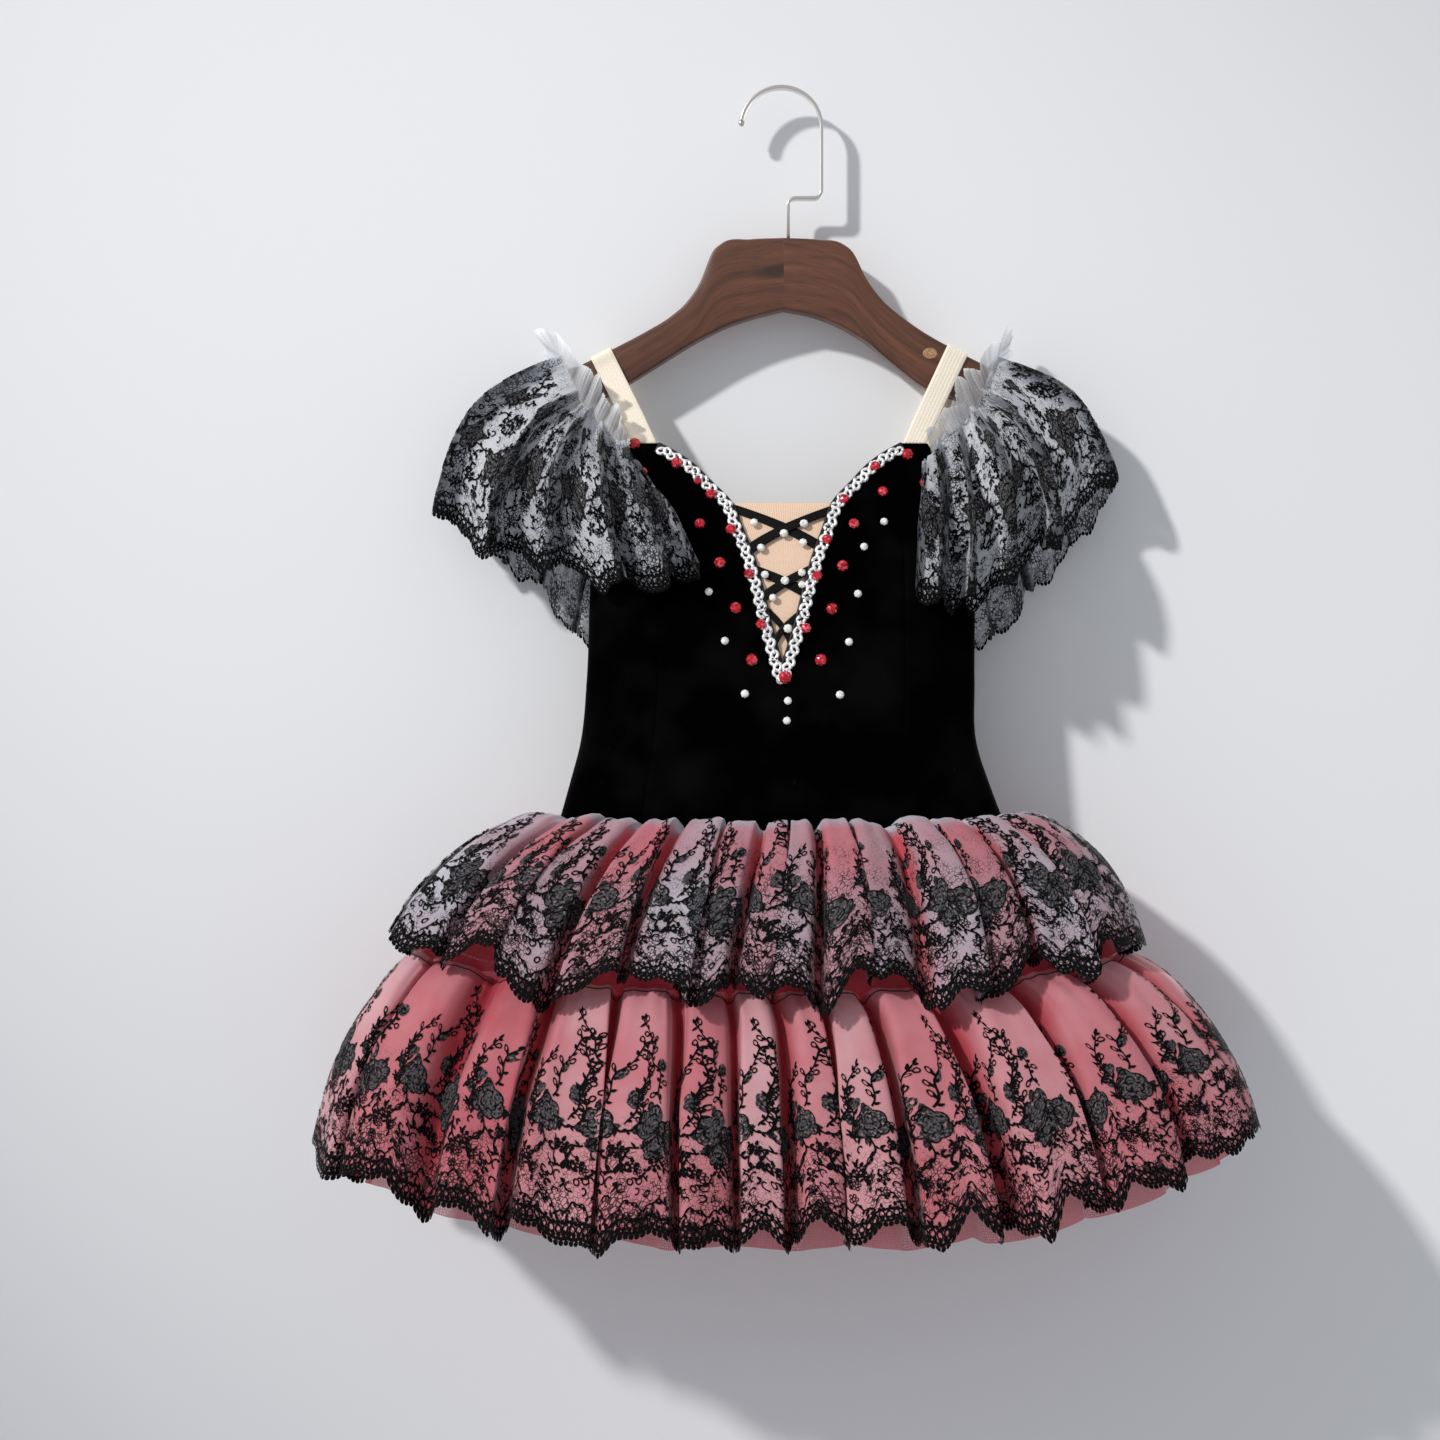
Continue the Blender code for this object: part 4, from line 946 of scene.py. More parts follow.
# How much lower than its rays a flounce's hem hangs, from front to back, in millimetres.
FLOUNCE_HEM = table("at drop", [
    (0.000, 2), (0.045, 6), (0.090, -5), (0.150, 5), (0.205, -7), (0.250, 7), (0.290, -6), (0.345, 6),
    (0.385, -8), (0.425, 4), (0.460, -7), (0.500, 5), (0.545, -6), (0.600, 5), (0.650, -5), (0.700, 4),
    (0.750, -5), (0.800, 4), (0.855, -4), (0.910, 4), (1.000, 0),
])


def sleeve_edge(at, side):
    """Gathered edge of a sleeve."""
    value = columns_at(SLEEVE_EDGE, at)
    return np.stack([MIDDLE + side * value["out"], value["deep"], -value["drop"]], axis=-1)


def flounce_form(rays, side, u, v):
    """Flounce from the gathered edge to its hem, each ray a bow that puffs out at its middle."""
    value = columns_at(rays, u)
    edge = sleeve_edge(u, side)
    hem = np.stack([MIDDLE + side * value["hem_out"], value["hem_deep"], -value["hem_drop"]], axis=-1)
    puff = np.stack([side * value["puff_out"], value["puff_deep"], value["puff_up"]], axis=-1)
    bow = (edge + hem) / 2 + 2 * puff
    v = v[..., None]
    return (1 - v) ** 2 * edge + 2 * v * (1 - v) * bow + v**2 * hem


def frill_form(side, u, v):
    """Heading that stands off the gathered edge, towards the strap."""
    value = columns_at(FRILL_RAYS, u)
    edge = sleeve_edge(u, side) + np.array([side * HEADING_OUT, 0, -HEADING_DOWN])
    reach = np.stack([side * value["out"], value["deep"], value["up"]], axis=-1)
    return edge + v[..., None] * reach


def waves(u, v, seed, count, folds, fade=0.0):
    """Irregular soft ripples across a cloth: a few sine waves, each with its own number, lean and start."""
    rng = np.random.default_rng(seed)
    height = 0.0 * u
    for _ in range(count):
        number = folds * rng.uniform(0.6, 1.5)
        start, lean, grow = rng.uniform(0, 2 * math.pi), rng.uniform(-1.5, 1.5), rng.uniform(fade, 1)
        height = height + np.sin(2 * math.pi * number * u + start + lean * v) * (grow + (1 - grow) * v)
    return height / count


def fold_marks(folds):
    """Seam, ridge, trough, ridge ... seam, and the height of each."""
    at, stand = folds["at"], folds["stand"]
    places, heights = np.zeros((2, 2 * len(at) + 1))
    places[1::2], heights[1::2] = at, stand
    places[2:-1:2] = (at[:-1] + at[1:]) / 2
    heights[2:-1:2] = -(stand[:-1] + stand[1:]) / 2
    places[-1] = 1.0
    return places, heights


def soft_pleats(folds, part):
    """Height of the folds, how far each point slides along the cloth, and the cloth's painted light and veil.

    Each fold is a flat panel that falls steeply near its troughs, and is tilted to the side it leans to.
    Points slide by a sine of twice the way, which steepens the fold's walls until they overhang, and by a
    sine of the way, which widens the ridges: more where the recess is shut. A ridge that leans slides as a
    whole, more the higher the point is, and gets a painted highlight line along its leading edge. The
    painted light and veil grows with the height of the point, scaled by the ridge's whiteness: painted
    shade low in the troughs and painted light on the ridges.
    """
    places, heights = fold_marks(folds)
    lean, white = (np.interp(places, folds["at"], folds[key]) for key in ("lean", "white"))
    ends = np.concatenate([[folds["shut"][-1]], folds["shut"]])
    i = np.clip(np.searchsorted(places, part, side="right") - 1, 0, len(places) - 2)
    span = places[i + 1] - places[i]
    f = np.clip((part - places[i]) / span, 0, 1)
    from_ridge = i % 2 == 1
    ridge, trough = np.where(from_ridge, (i, i + 1), (i + 1, i))
    way = np.where(from_ridge, f, 1 - f)
    up = (1 + np.cos(math.pi * way**1.7)) / 2
    wide = 0.2 + 0.3 * ends[(i + 1) // 2]
    steep = 0.08 + 0.14 * ends[(i + 1) // 2]
    slide = span * (steep * np.sin(2 * math.pi * f) + np.where(from_ridge, wide, -wide) * np.sin(math.pi * f))
    slide = slide + 0.5 * span * lean[ridge] * up**1.5
    leading = lean[ridge] * np.where(from_ridge, 1, -1)
    tilt = 0.55 * leading * way * (1 - way**4)
    # Painted highlight: a light line along the leading edge of a leaning ridge.
    painted_edge_highlight = 0.9 * np.clip(leading, 0, 1) * np.exp(-(((way - 0.66) / 0.06) ** 2))
    # Painted light and veil: paler the higher the point stands, so the troughs carry painted shade.
    painted_light_and_veil = up**0.8 * (0.35 + 0.65 * white[ridge]) + painted_edge_highlight
    return heights[trough] + (heights[ridge] - heights[trough]) * up + tilt, slide, painted_light_and_veil


def cloth_grid(points, scallop, depth, hem, part=None):
    """What lace needs to know of a hung cloth: points, normals, and flat places from its hem upwards.

    The grid has one row below its hem. The hem is moved along each column's own line by the hem table, read
    at the part of the way round to which the folds have carried the column, and cut in scallops of that
    width. The flat place of a column is its distance along the hem. That of a row is the length of its column
    up from the hem; higher up the table's move is taken off it again, so that a pattern follows the hem near
    its border and lies level above.
    """
    hem_row = len(points) - 2
    s = so_far(np.linalg.norm(np.diff(points[hem_row], axis=0), axis=-1))
    s = s * (max(1, round(s[-1] / scallop)) * scallop / s[-1])
    fall = (np.arange(len(points)) / hem_row)[:, None, None]
    down = unit(points[hem_row] - points[hem_row - 3])[None]
    cut = depth * (np.abs(np.sin(math.pi * s / scallop)) ** 0.8 - 0.5)
    drop = np.interp(np.linspace(0, 1, len(s)) if part is None else part, hem["at"], hem["drop"])
    points = points + down * cut[None, :, None] * fall**8
    points = points + down * drop[None, :, None] * fall**2.5
    lengths = np.linalg.norm(np.diff(points, axis=0), axis=-1)
    t = np.concatenate([np.cumsum(lengths[::-1], axis=0)[::-1], np.zeros((1, len(s)))])
    t = t - t[hem_row]
    t = t - drop * (1 - np.exp(-np.maximum(t, 0) / LEVEL_ABOVE))
    return {"points": points, "normals": grid_normals(points), "s": s, "t": t}


def point_values(piece, name, values):
    """Writes a value from 0 to 1 at each point of a piece, for its material to read."""
    layer = piece.data.attributes.new(name, "FLOAT", "POINT")
    layer.data.foreach_set("value", np.clip(values, 0, 1).ravel().astype(np.float32))
    return piece


def open_cloth(name, points, flat=None):
    """A cloth of one layer on a grid of points, with its flat places as its map."""
    flat = flat_places(points) if flat is None else flat
    return make_mesh(name, points, grid_faces(*points.shape[:2]), flat)


def hemmed_cloth(name, grid):
    """The cloth itself down to its hem."""
    s, t = np.broadcast_arrays(grid["s"], grid["t"][:-1])
    return open_cloth(name, grid["points"][:-1], np.stack([s, t], axis=-1) * MM)


def on_cloth(grid, s, t, lift):
    """Places on a hung cloth from flat places: between its four nearest points, lifted off the face."""
    c = np.interp(s, grid["s"], np.arange(len(grid["s"])))
    c0 = np.clip(c.astype(int), 0, len(grid["s"]) - 2)
    fc = (c - c0)[:, None]
    lengths = grid["t"][:, c0] * (1 - fc[:, 0]) + grid["t"][:, c0 + 1] * fc[:, 0]
    r0 = np.clip((lengths > t).sum(axis=0) - 1, 0, len(lengths) - 2)
    n = np.arange(len(s))
    high, low = lengths[r0, n], lengths[r0 + 1, n]
    fr = np.clip((high - t) / (high - low), 0, 1)[:, None]

    def between(field):
        """A field of the grid at the places."""
        top, bottom = (field[r, c0] * (1 - fc) + field[r, c0 + 1] * fc for r in (r0, r0 + 1))
        return top * (1 - fr) + bottom * fr

    return between(grid["points"]) + unit(between(grid["normals"])) * lift[:, None], lengths[0]


def from_place(x, y, reach, angle):
    """The place that lies that far from another at that angle."""
    return x + reach * np.cos(angle), y + reach * np.sin(angle)


class Embroidery:
    """Flat stitched shapes in millimetres, along and up from the hem, kept as points, triangles and fill."""

    def __init__(self):
        """Starts without a shape."""
        self.points, self.faces, self.fill, self.count = [], [], [], 0

    def add(self, points, faces, fill):
        """Keeps a shape; fill is 0 for cord and 1 for darned ground."""
        self.points.append(np.asarray(points, float))
        self.faces.append(np.asarray(faces) + self.count)
        self.fill.append(np.full(len(points), float(fill)))
        self.count += len(points)

    def cord(self, path, width):
        """A flat cord along a path, narrower towards its ends when width is an array."""
        path = np.asarray(path, float)
        step = unit(np.gradient(path, axis=0))
        half = (np.asarray(width) / 2 * np.ones(len(path)))[:, None]
        side = np.stack([-step[:, 1], step[:, 0]], axis=1) * half
        n, i = len(path), np.arange(len(path) - 1)
        faces = np.concatenate([np.stack([i, i + 1, n + i + 1], 1), np.stack([i, n + i + 1, n + i], 1)])
        self.add(np.concatenate([path - side, path + side]), faces, 0)

    def disc(self, x, y, rim, fill=0):
        """A filled shape: a fan from its middle to its rim's radii."""
        points = np.concatenate([[[x, y]], np.stack(from_place(x, y, rim, full_turn(len(rim))), 1)])
        j = np.arange(len(rim))
        self.add(points, np.stack([0 * j, 1 + j, 1 + (j + 1) % len(rim)], 1), fill)

    def leaf(self, x, y, angle, length, width, fill=0):
        """A pointed leaf from its foot."""
        shape = np.array([(0, 0), (0.35, 0.5), (0.75, 0.34), (1, 0), (0.75, -0.34), (0.35, -0.5)])
        turn = np.array([[math.cos(angle), math.sin(angle)], [-math.sin(angle), math.cos(angle)]])
        j = np.arange(1, 5)
        self.add(shape * (length, width) @ turn + (x, y), np.stack([0 * j, j, j + 1], 1), fill)

    def ring(self, x, y, rx, ry, width, turn, count):
        """A closed loop of cord."""
        a = np.linspace(0, 2 * math.pi, count + 1)
        px, py = rx * np.cos(a), ry * np.sin(a)
        c, s = math.cos(turn), math.sin(turn)
        self.cord(np.stack([x + px * c - py * s, y + px * s + py * c], 1), width)

    def blossom(self, x, y, size, turn):
        """A small flower: five petals round a loop."""
        for k in range(5):
            a = turn + 2 * math.pi * k / 5
            self.leaf(*from_place(x, y, 0.3 * size, a), a, 0.75 * size, 0.62 * size)
        self.ring(x, y, size * 0.28, size * 0.28, 0.9, 0, 6)

    def rose(self, x, y, size, turn, rng):
        """A full-blown rose: darned petals that overlap round its heart, each with a corded edge."""
        for reach, radius, petals, start in ((0.52, 0.56, 5, turn), (0.22, 0.36, 3, turn + 0.6)):
            for k in range(petals):
                a = start + 2 * math.pi * k / petals + rng.uniform(-0.15, 0.15)
                px, py = from_place(x, y, size * reach, a)
                r = size * radius * rng.uniform(0.9, 1.1)
                if petals == 5:
                    self.disc(px, py, r * (1 + 0.05 * np.sin(3 * np.linspace(0, 6.28, 12) + k)), 1)
                edge = np.stack(from_place(px, py, r, a + np.linspace(-1.35, 1.35, 8)), 1)
                self.cord(edge, 0.9 * np.sin(np.linspace(0.4, 2.74, 8)))
        self.disc(x, y, np.full(8, size * 0.34), 0.9)

    def vine(self, x, y, heading, length, bend, rng, width=1.1, leaf=3.3):
        """A winding stem, its heading swinging from side to side, with leaves in turn left and right."""
        step, swing = 1.8, 26
        n = max(4, int(length / step))
        d = np.arange(n) * step
        angle = heading + bend * np.sin(2 * math.pi * d / swing + rng.uniform(0, 6.28))
        angle = angle + rng.uniform(-0.02, 0.02) * d
        path = np.stack([x + np.cumsum(np.cos(angle)) * step, y + np.cumsum(np.sin(angle)) * step], 1)
        self.cord(path, width)
        for k in range(1, n, 2):
            side = 1 if (k // 2) % 2 else -1
            turn, length = angle[k] + side * rng.uniform(0.6, 1.2), leaf * rng.uniform(0.8, 1.4)
            self.leaf(*path[k], turn, length, leaf * 0.55)
        return path, angle

    def curl(self, x, y, size, heading, hand):
        """A tendril that winds up at its end."""
        a = np.linspace(0, 4.2, 9)
        winding = from_place(x, y, size * (1 - 0.16 * a), heading + hand * a)
        start = from_place(0, 0, size, heading)
        self.cord(np.stack([winding[0] - start[0], winding[1] - start[1]], 1), 0.9)

    def whole(self):
        """All the shapes as one set of arrays."""
        return np.concatenate(self.points), np.concatenate(self.faces), np.concatenate(self.fill)


GARLAND_RISE = 42.0
ROSE_MARGIN = 3.0
# In a repeat of a garland: roses and blossoms (along, up, size) and stems (along, up, heading, length).
ROSES = (((14, 60, 10.0), (28, 55, 8.6), (17, 47, 7.4), (58, 61, 9.2)), ((16, 58, 7.6), (54, 60, 6.8)))
BLOSSOMS = ((46, 38, 4.6), (70, 47, 4.6), (4, 37, 4.4), (38, 30, 4.0), (60, 27, 4.2), (18, 36, 4.8))
STEMS = ((39, 57, -0.5, 14), (67, 62, -0.2, 16), (22, 46, -1.2, 30), (8, 49, -2.2, 24), (55, 53, -1.9, 34),
         (35, 48, -0.7, 28), (64, 54, -1.2, 30))
SPRIGS = ((21, 70, 1.72, 62), (38, 62, 1.35, 40), (59, 70, 1.5, 54), (48, 52, 1.7, 34), (3, 58, 1.5, 52),
          (72, 58, 1.3, 36))


def lace_strip(seed, garlands, sparse):
    """One repeat of rose lace: border, filling, garlands with roses, and sprigs above the last of them."""
    rng = np.random.default_rng(seed)
    work = Embroidery()
    width = LACE_REPEAT

    def in_garland(g, rows):
        """Rows of a garland's table, moved to the garland of that number."""
        return [((x + g * width / 2) % width, y + GARLAND_RISE * g, *rest) for x, y, *rest in rows]

    # Border: beaded edge on a cord, a row of loops, a second beaded line with picots, and a waved cord.
    beads, loops, small_beads = 24, 18, 28
    s = np.linspace(0, width, 97)
    turn = 2 * math.pi * s / width
    wave = 15.5 + 2.6 * np.sin(turn * 4) + 1.0 * np.sin(turn * 11)
    work.cord(np.stack([s, 0 * s + 1.4], 1), 1.5)
    for k in range(beads):
        work.disc((k + 0.5) * width / beads, -0.8, np.full(7, 1.6))
        work.disc(k * width / beads, 3.2, np.full(6, 1.45))
    for k in range(loops):
        x = (k + 0.5) * width / loops
        work.ring(x, 5.4, 1.7, 1.9, 1.0, 0.3 * math.sin(2.1 * k), 8)
        work.leaf(x, 9.0, math.pi / 2 + 0.7 * math.sin(1.7 * k), rng.uniform(2.4, 4.4), 2.0)
    work.cord(np.stack([s, 8.3 + 0.5 * np.sin(turn * 9)], 1), 1.3)
    for k in range(small_beads):
        work.disc((k + 0.5) * width / small_beads, 8.4, np.full(6, 1.3))
    work.cord(np.stack([s, wave], 1), 0.9)
    for k in range(3, len(s), 4):
        work.leaf(s[k], wave[k], rng.uniform(0.5, 2.6) + math.pi * (k % 2), rng.uniform(2.4, 3.8), 1.8)
    # Roses: a cluster of three and a single one in each repeat of a garland, with leaves round them.
    roses = [rose for g in range(garlands) for rose in in_garland(g, ROSES[g])]
    for x, y, size in roses:
        for k in range(4):
            a = k * 1.57 + rng.uniform(-0.4, 0.4)
            work.leaf(*from_place(x, y, size * 0.75, a), a, size * 0.7, size * 0.5, 0.35)
        work.rose(x, y, size, rng.uniform(0, 6), rng)
    # Small blossoms between them, then the garland from rose to rose and stems down from it.
    for g in range(garlands):
        for x, y, size in in_garland(g, BLOSSOMS):
            work.blossom(x, y, size, rng.uniform(0, 6))
        for x, y, heading, length in in_garland(g, STEMS):
            work.vine(x, y, heading, length, 0.8, rng)

    def free(x, y):
        """Whether a place lies clear of every rose."""
        return all(math.hypot((x - rx + width / 2) % width - width / 2, y - ry) > size + ROSE_MARGIN
                   for rx, ry, size in roses)

    # Filling: tendrils, leaves, loops and eyelets over the net up to the roses.
    top = GARLAND_RISE * (garlands - 1)
    for row, y in enumerate(np.arange(21, 50 + top, 6.6)):
        for x in np.arange(0, width, 6.9):
            px, py = x + rng.uniform(-2.2, 2.2) + 3.4 * (row % 2), y + rng.uniform(-2.2, 2.2)
            if not free(px, py) or rng.uniform() < sparse:
                continue
            kind = rng.uniform()
            if kind < 0.25:
                size, heading = rng.uniform(2.2, 3.4), rng.uniform(0, 6.28)
                work.curl(px, py, size, heading, 1 if rng.uniform() < 0.5 else -1)
            elif kind < 0.40:
                for k in range(5):
                    work.ring(*from_place(px, py, 1.9, 1.257 * k), 1.1, 0.9, 0.6, 1.257 * k, 6)
            elif kind < 0.62:
                a = rng.uniform(0, 6.28)
                for lean in (-0.6, 0.6):
                    work.leaf(px, py, a + lean, rng.uniform(3.0, 4.6), rng.uniform(1.5, 2.2))
            elif kind < 0.85:
                work.vine(px, py, rng.uniform(0, 6.28), rng.uniform(6, 9), 0.8, rng, 0.9, 2.6)
            else:
                work.ring(px, py, rng.uniform(1.4, 2.2), rng.uniform(1.3, 1.9), 0.9, rng.uniform(0, 3), 8)
    # Sprigs: tall fine stems with paired leaves, looped buds, a dark half-open one, and a leaf at the tip.
    for x, y, heading, length in SPRIGS:
        path, angle = work.vine(x, y + top, heading, length, 0.45, rng, 1.0, 3.6)
        work.leaf(*path[-1], angle[-1], 4.6, 2.0)
        for k in range(3, len(path) - 1, 4):
            a = angle[k] + rng.choice([-1, 1]) * 1.0
            work.cord([path[k], from_place(*path[k], 2.6, a)], 0.9)
            work.ring(*from_place(*path[k], 4.2, a), 1.9, 1.4, 0.9, a, 8)
        k = len(path) // 3
        a = angle[k] + rng.choice([-1, 1]) * 0.9
        work.disc(*from_place(*path[k], 4.5, a), 3.6 + 0.7 * np.cos(2 * (full_turn(14) - a)), 0.8)
    return work.whole()


def lay_lace(name, grid, strip, shift=0.0, top_margin=3.0):
    """The strip repeated along a cloth's hem and laid on its face, as far as its ends and its top allow."""
    points, faces, fill = strip
    length = grid["s"][-1]
    copies = np.arange(-1, int(length / LACE_REPEAT) + 2)
    s = (points[None, :, 0] + copies[:, None] * LACE_REPEAT + shift).ravel()
    t, fill = np.tile(points[:, 1], len(copies)), np.tile(fill, len(copies))
    faces = (np.arange(len(copies))[:, None, None] * len(points) + faces[None]).reshape(-1, 3)
    places, top = on_cloth(grid, np.clip(s, 0, length), t, LACE_LIFT + CORD_RAISED * (1 - fill))
    inside = (s > 0) & (s < length) & (t < top - top_margin)
    faces = faces[inside[faces].all(axis=1)]
    used, index = np.unique(faces, return_inverse=True)
    flat = np.stack([s, t], axis=1)[used] * MM
    return point_values(make_mesh(name, places[used], index.reshape(-1, 3), flat), "Darn", fill[used])


def machine_lace():
    """Black rayon embroidery: dull cord at outlines, and a darned ground whose threads show as dark grey."""
    material, tree, shader = new_material("black_rayon_lace", Roughness=0.85, Specular_IOR_Level=0.1,
                                          Sheen_Weight=0.015, Sheen_Roughness=0.4)
    cloth = add_node(tree, "UVMap", uv_map="Cloth")
    darn = add_node(tree, "Attribute", attribute_name="Darn").outputs["Fac"]
    thread_mm = 1.6
    threads = add_node(tree, "TexNoise", {"Vector": cloth, "Scale": 1000 / thread_mm, "Detail": 2.0})
    grey = add_node(tree, "ValToRGB", {"Fac": threads}, stops=[(0.40, "#080808"), (0.60, "#5b595c")])
    colour = add_node(tree, "Mix", {0: darn, 6: linear("#050506"), 7: grey}, data_type="RGBA")
    open_ground = add_node(tree, "Math", {0: threads, 1: 0.61}, operation="GREATER_THAN")
    holes = add_node(tree, "Math", {0: open_ground, 1: darn}, operation="MULTIPLY")
    solid = add_node(tree, "Math", {0: 1.0, 1: holes}, operation="SUBTRACT")
    bump = add_node(tree, "Bump", {"Height": threads, "Strength": 0.4, "Distance": 0.0003})
    wire(shader, {"Base Color": colour.outputs[2], "Alpha": solid, "Normal": bump})
    return material


def sheer(name, tones, cover, net_density=(), glow=0.35, fleck=0.1):
    """Sheer cloth: scatters and lets light through, with holes between its threads.

    tones are colour stops, read by the cloth's painted light and veil attribute: 0 in the bottom of a fold,
    1 where it stands highest or lies double, so the low stops are painted shade and the high ones painted
    light with the whiteness of doubled cloth; cover, how much of the view the threads fill, goes from its
    first to its second value the same way. net_density is how closely the lace's black ground lies on it:
    heights above the hem in metres with a density from 0 to 1. The ground is thinned on the highest,
    painted-light ridges.
    """
    material, tree, shader = new_material(name, Roughness=0.85, Specular_IOR_Level=0.25, Sheen_Weight=0.5,
                                          Sheen_Roughness=0.4)
    cloth = add_node(tree, "UVMap", uv_map="Cloth")
    clouds = add_node(tree, "TexNoise", {"Vector": cloth, "Scale": 26.0, "Detail": 3.0})
    cloudy = add_node(tree, "Math", {0: clouds, 1: 0.5, 2: -0.25}, operation="MULTIPLY_ADD")
    fold_light_and_double = add_node(tree, "Attribute", attribute_name="PaintedLightAndVeil").outputs["Fac"]
    painted_light_and_veil = add_node(tree, "Math", {0: fold_light_and_double, 1: cloudy}, operation="ADD", use_clamp=True)
    # The colour follows the painted light and veil: painted shade deep in the folds, painted light on the
    # ridges.
    colour = add_node(tree, "ValToRGB", {"Fac": painted_light_and_veil}, stops=tones)
    mesh_mm = 1.4
    mesh = add_node(tree, "TexVoronoi", {"Vector": cloth, "Scale": 1000 / mesh_mm, "Randomness": 0.35},
                    feature="DISTANCE_TO_EDGE")
    holes = add_node(tree, "MapRange", {"Value": mesh, "From Min": 0.05, "From Max": 0.4, "To Min": fleck,
                                        "To Max": -fleck})
    fill = add_node(tree, "MapRange", {"Value": painted_light_and_veil, "To Min": cover[0], "To Max": cover[1]})
    solid = add_node(tree, "Math", {0: fill, 1: holes}, operation="ADD", use_clamp=True)
    if net_density:
        cell_mm, patch_mm, highest = 2.3, 13.0, 0.12
        height = add_node(tree, "SeparateXYZ", {"Vector": cloth}).outputs["Y"]
        part = add_node(tree, "Math", {0: height, 1: highest}, operation="DIVIDE")
        dense = add_node(tree, "ValToRGB", {"Fac": part}, stops=[(at / highest, d) for at, d in net_density])
        patches = add_node(tree, "TexNoise", {"Vector": cloth, "Scale": 1000 / patch_mm, "Detail": 2.0})
        patchy = add_node(tree, "MapRange", {"Value": patches, "From Min": 0.36, "From Max": 0.60,
                                             "To Min": 0.06, "To Max": 0.50})
        cells = add_node(tree, "TexVoronoi", {"Vector": cloth, "Scale": 1000 / cell_mm, "Randomness": 1.0},
                         feature="DISTANCE_TO_EDGE")
        clear_ridge = add_node(tree, "MapRange", {"Value": painted_light_and_veil, "From Min": 0.62, "From Max": 1.0,
                                                  "To Min": 1.0, "To Max": 0.45})
        reach = add_node(tree, "Math", {0: dense, 1: patchy}, operation="MULTIPLY")
        least = add_node(tree, "Math", {0: reach, 1: clear_ridge}, operation="MULTIPLY")
        over = add_node(tree, "Math", {0: least, 1: cells}, operation="SUBTRACT")
        thread = add_node(tree, "MapRange", {"Value": over, "From Min": 0.0, "From Max": 0.07,
                                             "To Min": 0.0, "To Max": 0.92})
        black = linear("#161618")
        colour = add_node(tree, "Mix", {0: thread, 6: colour, 7: black}, data_type="RGBA").outputs[2]
        solid = add_node(tree, "Math", {0: solid, 1: thread}, operation="MAXIMUM")
    wire(shader, {"Base Color": colour, "Alpha": solid})
    through_light = add_node(tree, "BsdfTranslucent", {"Color": colour})
    clear = add_node(tree, "BsdfTransparent")
    veiled_light = add_node(tree, "MixShader", {0: solid, 1: clear, 2: through_light})
    both_ways = add_node(tree, "MixShader", {0: glow, 1: shader, 2: veiled_light})
    wire(tree.nodes["Material Output"], {"Surface": both_ways})
    return material


ROSE_LACE = lace_strip(11, garlands=1, sparse=0.15)
SLEEVE_LACE = lace_strip(17, garlands=2, sparse=0.35)
LACE = machine_lace()
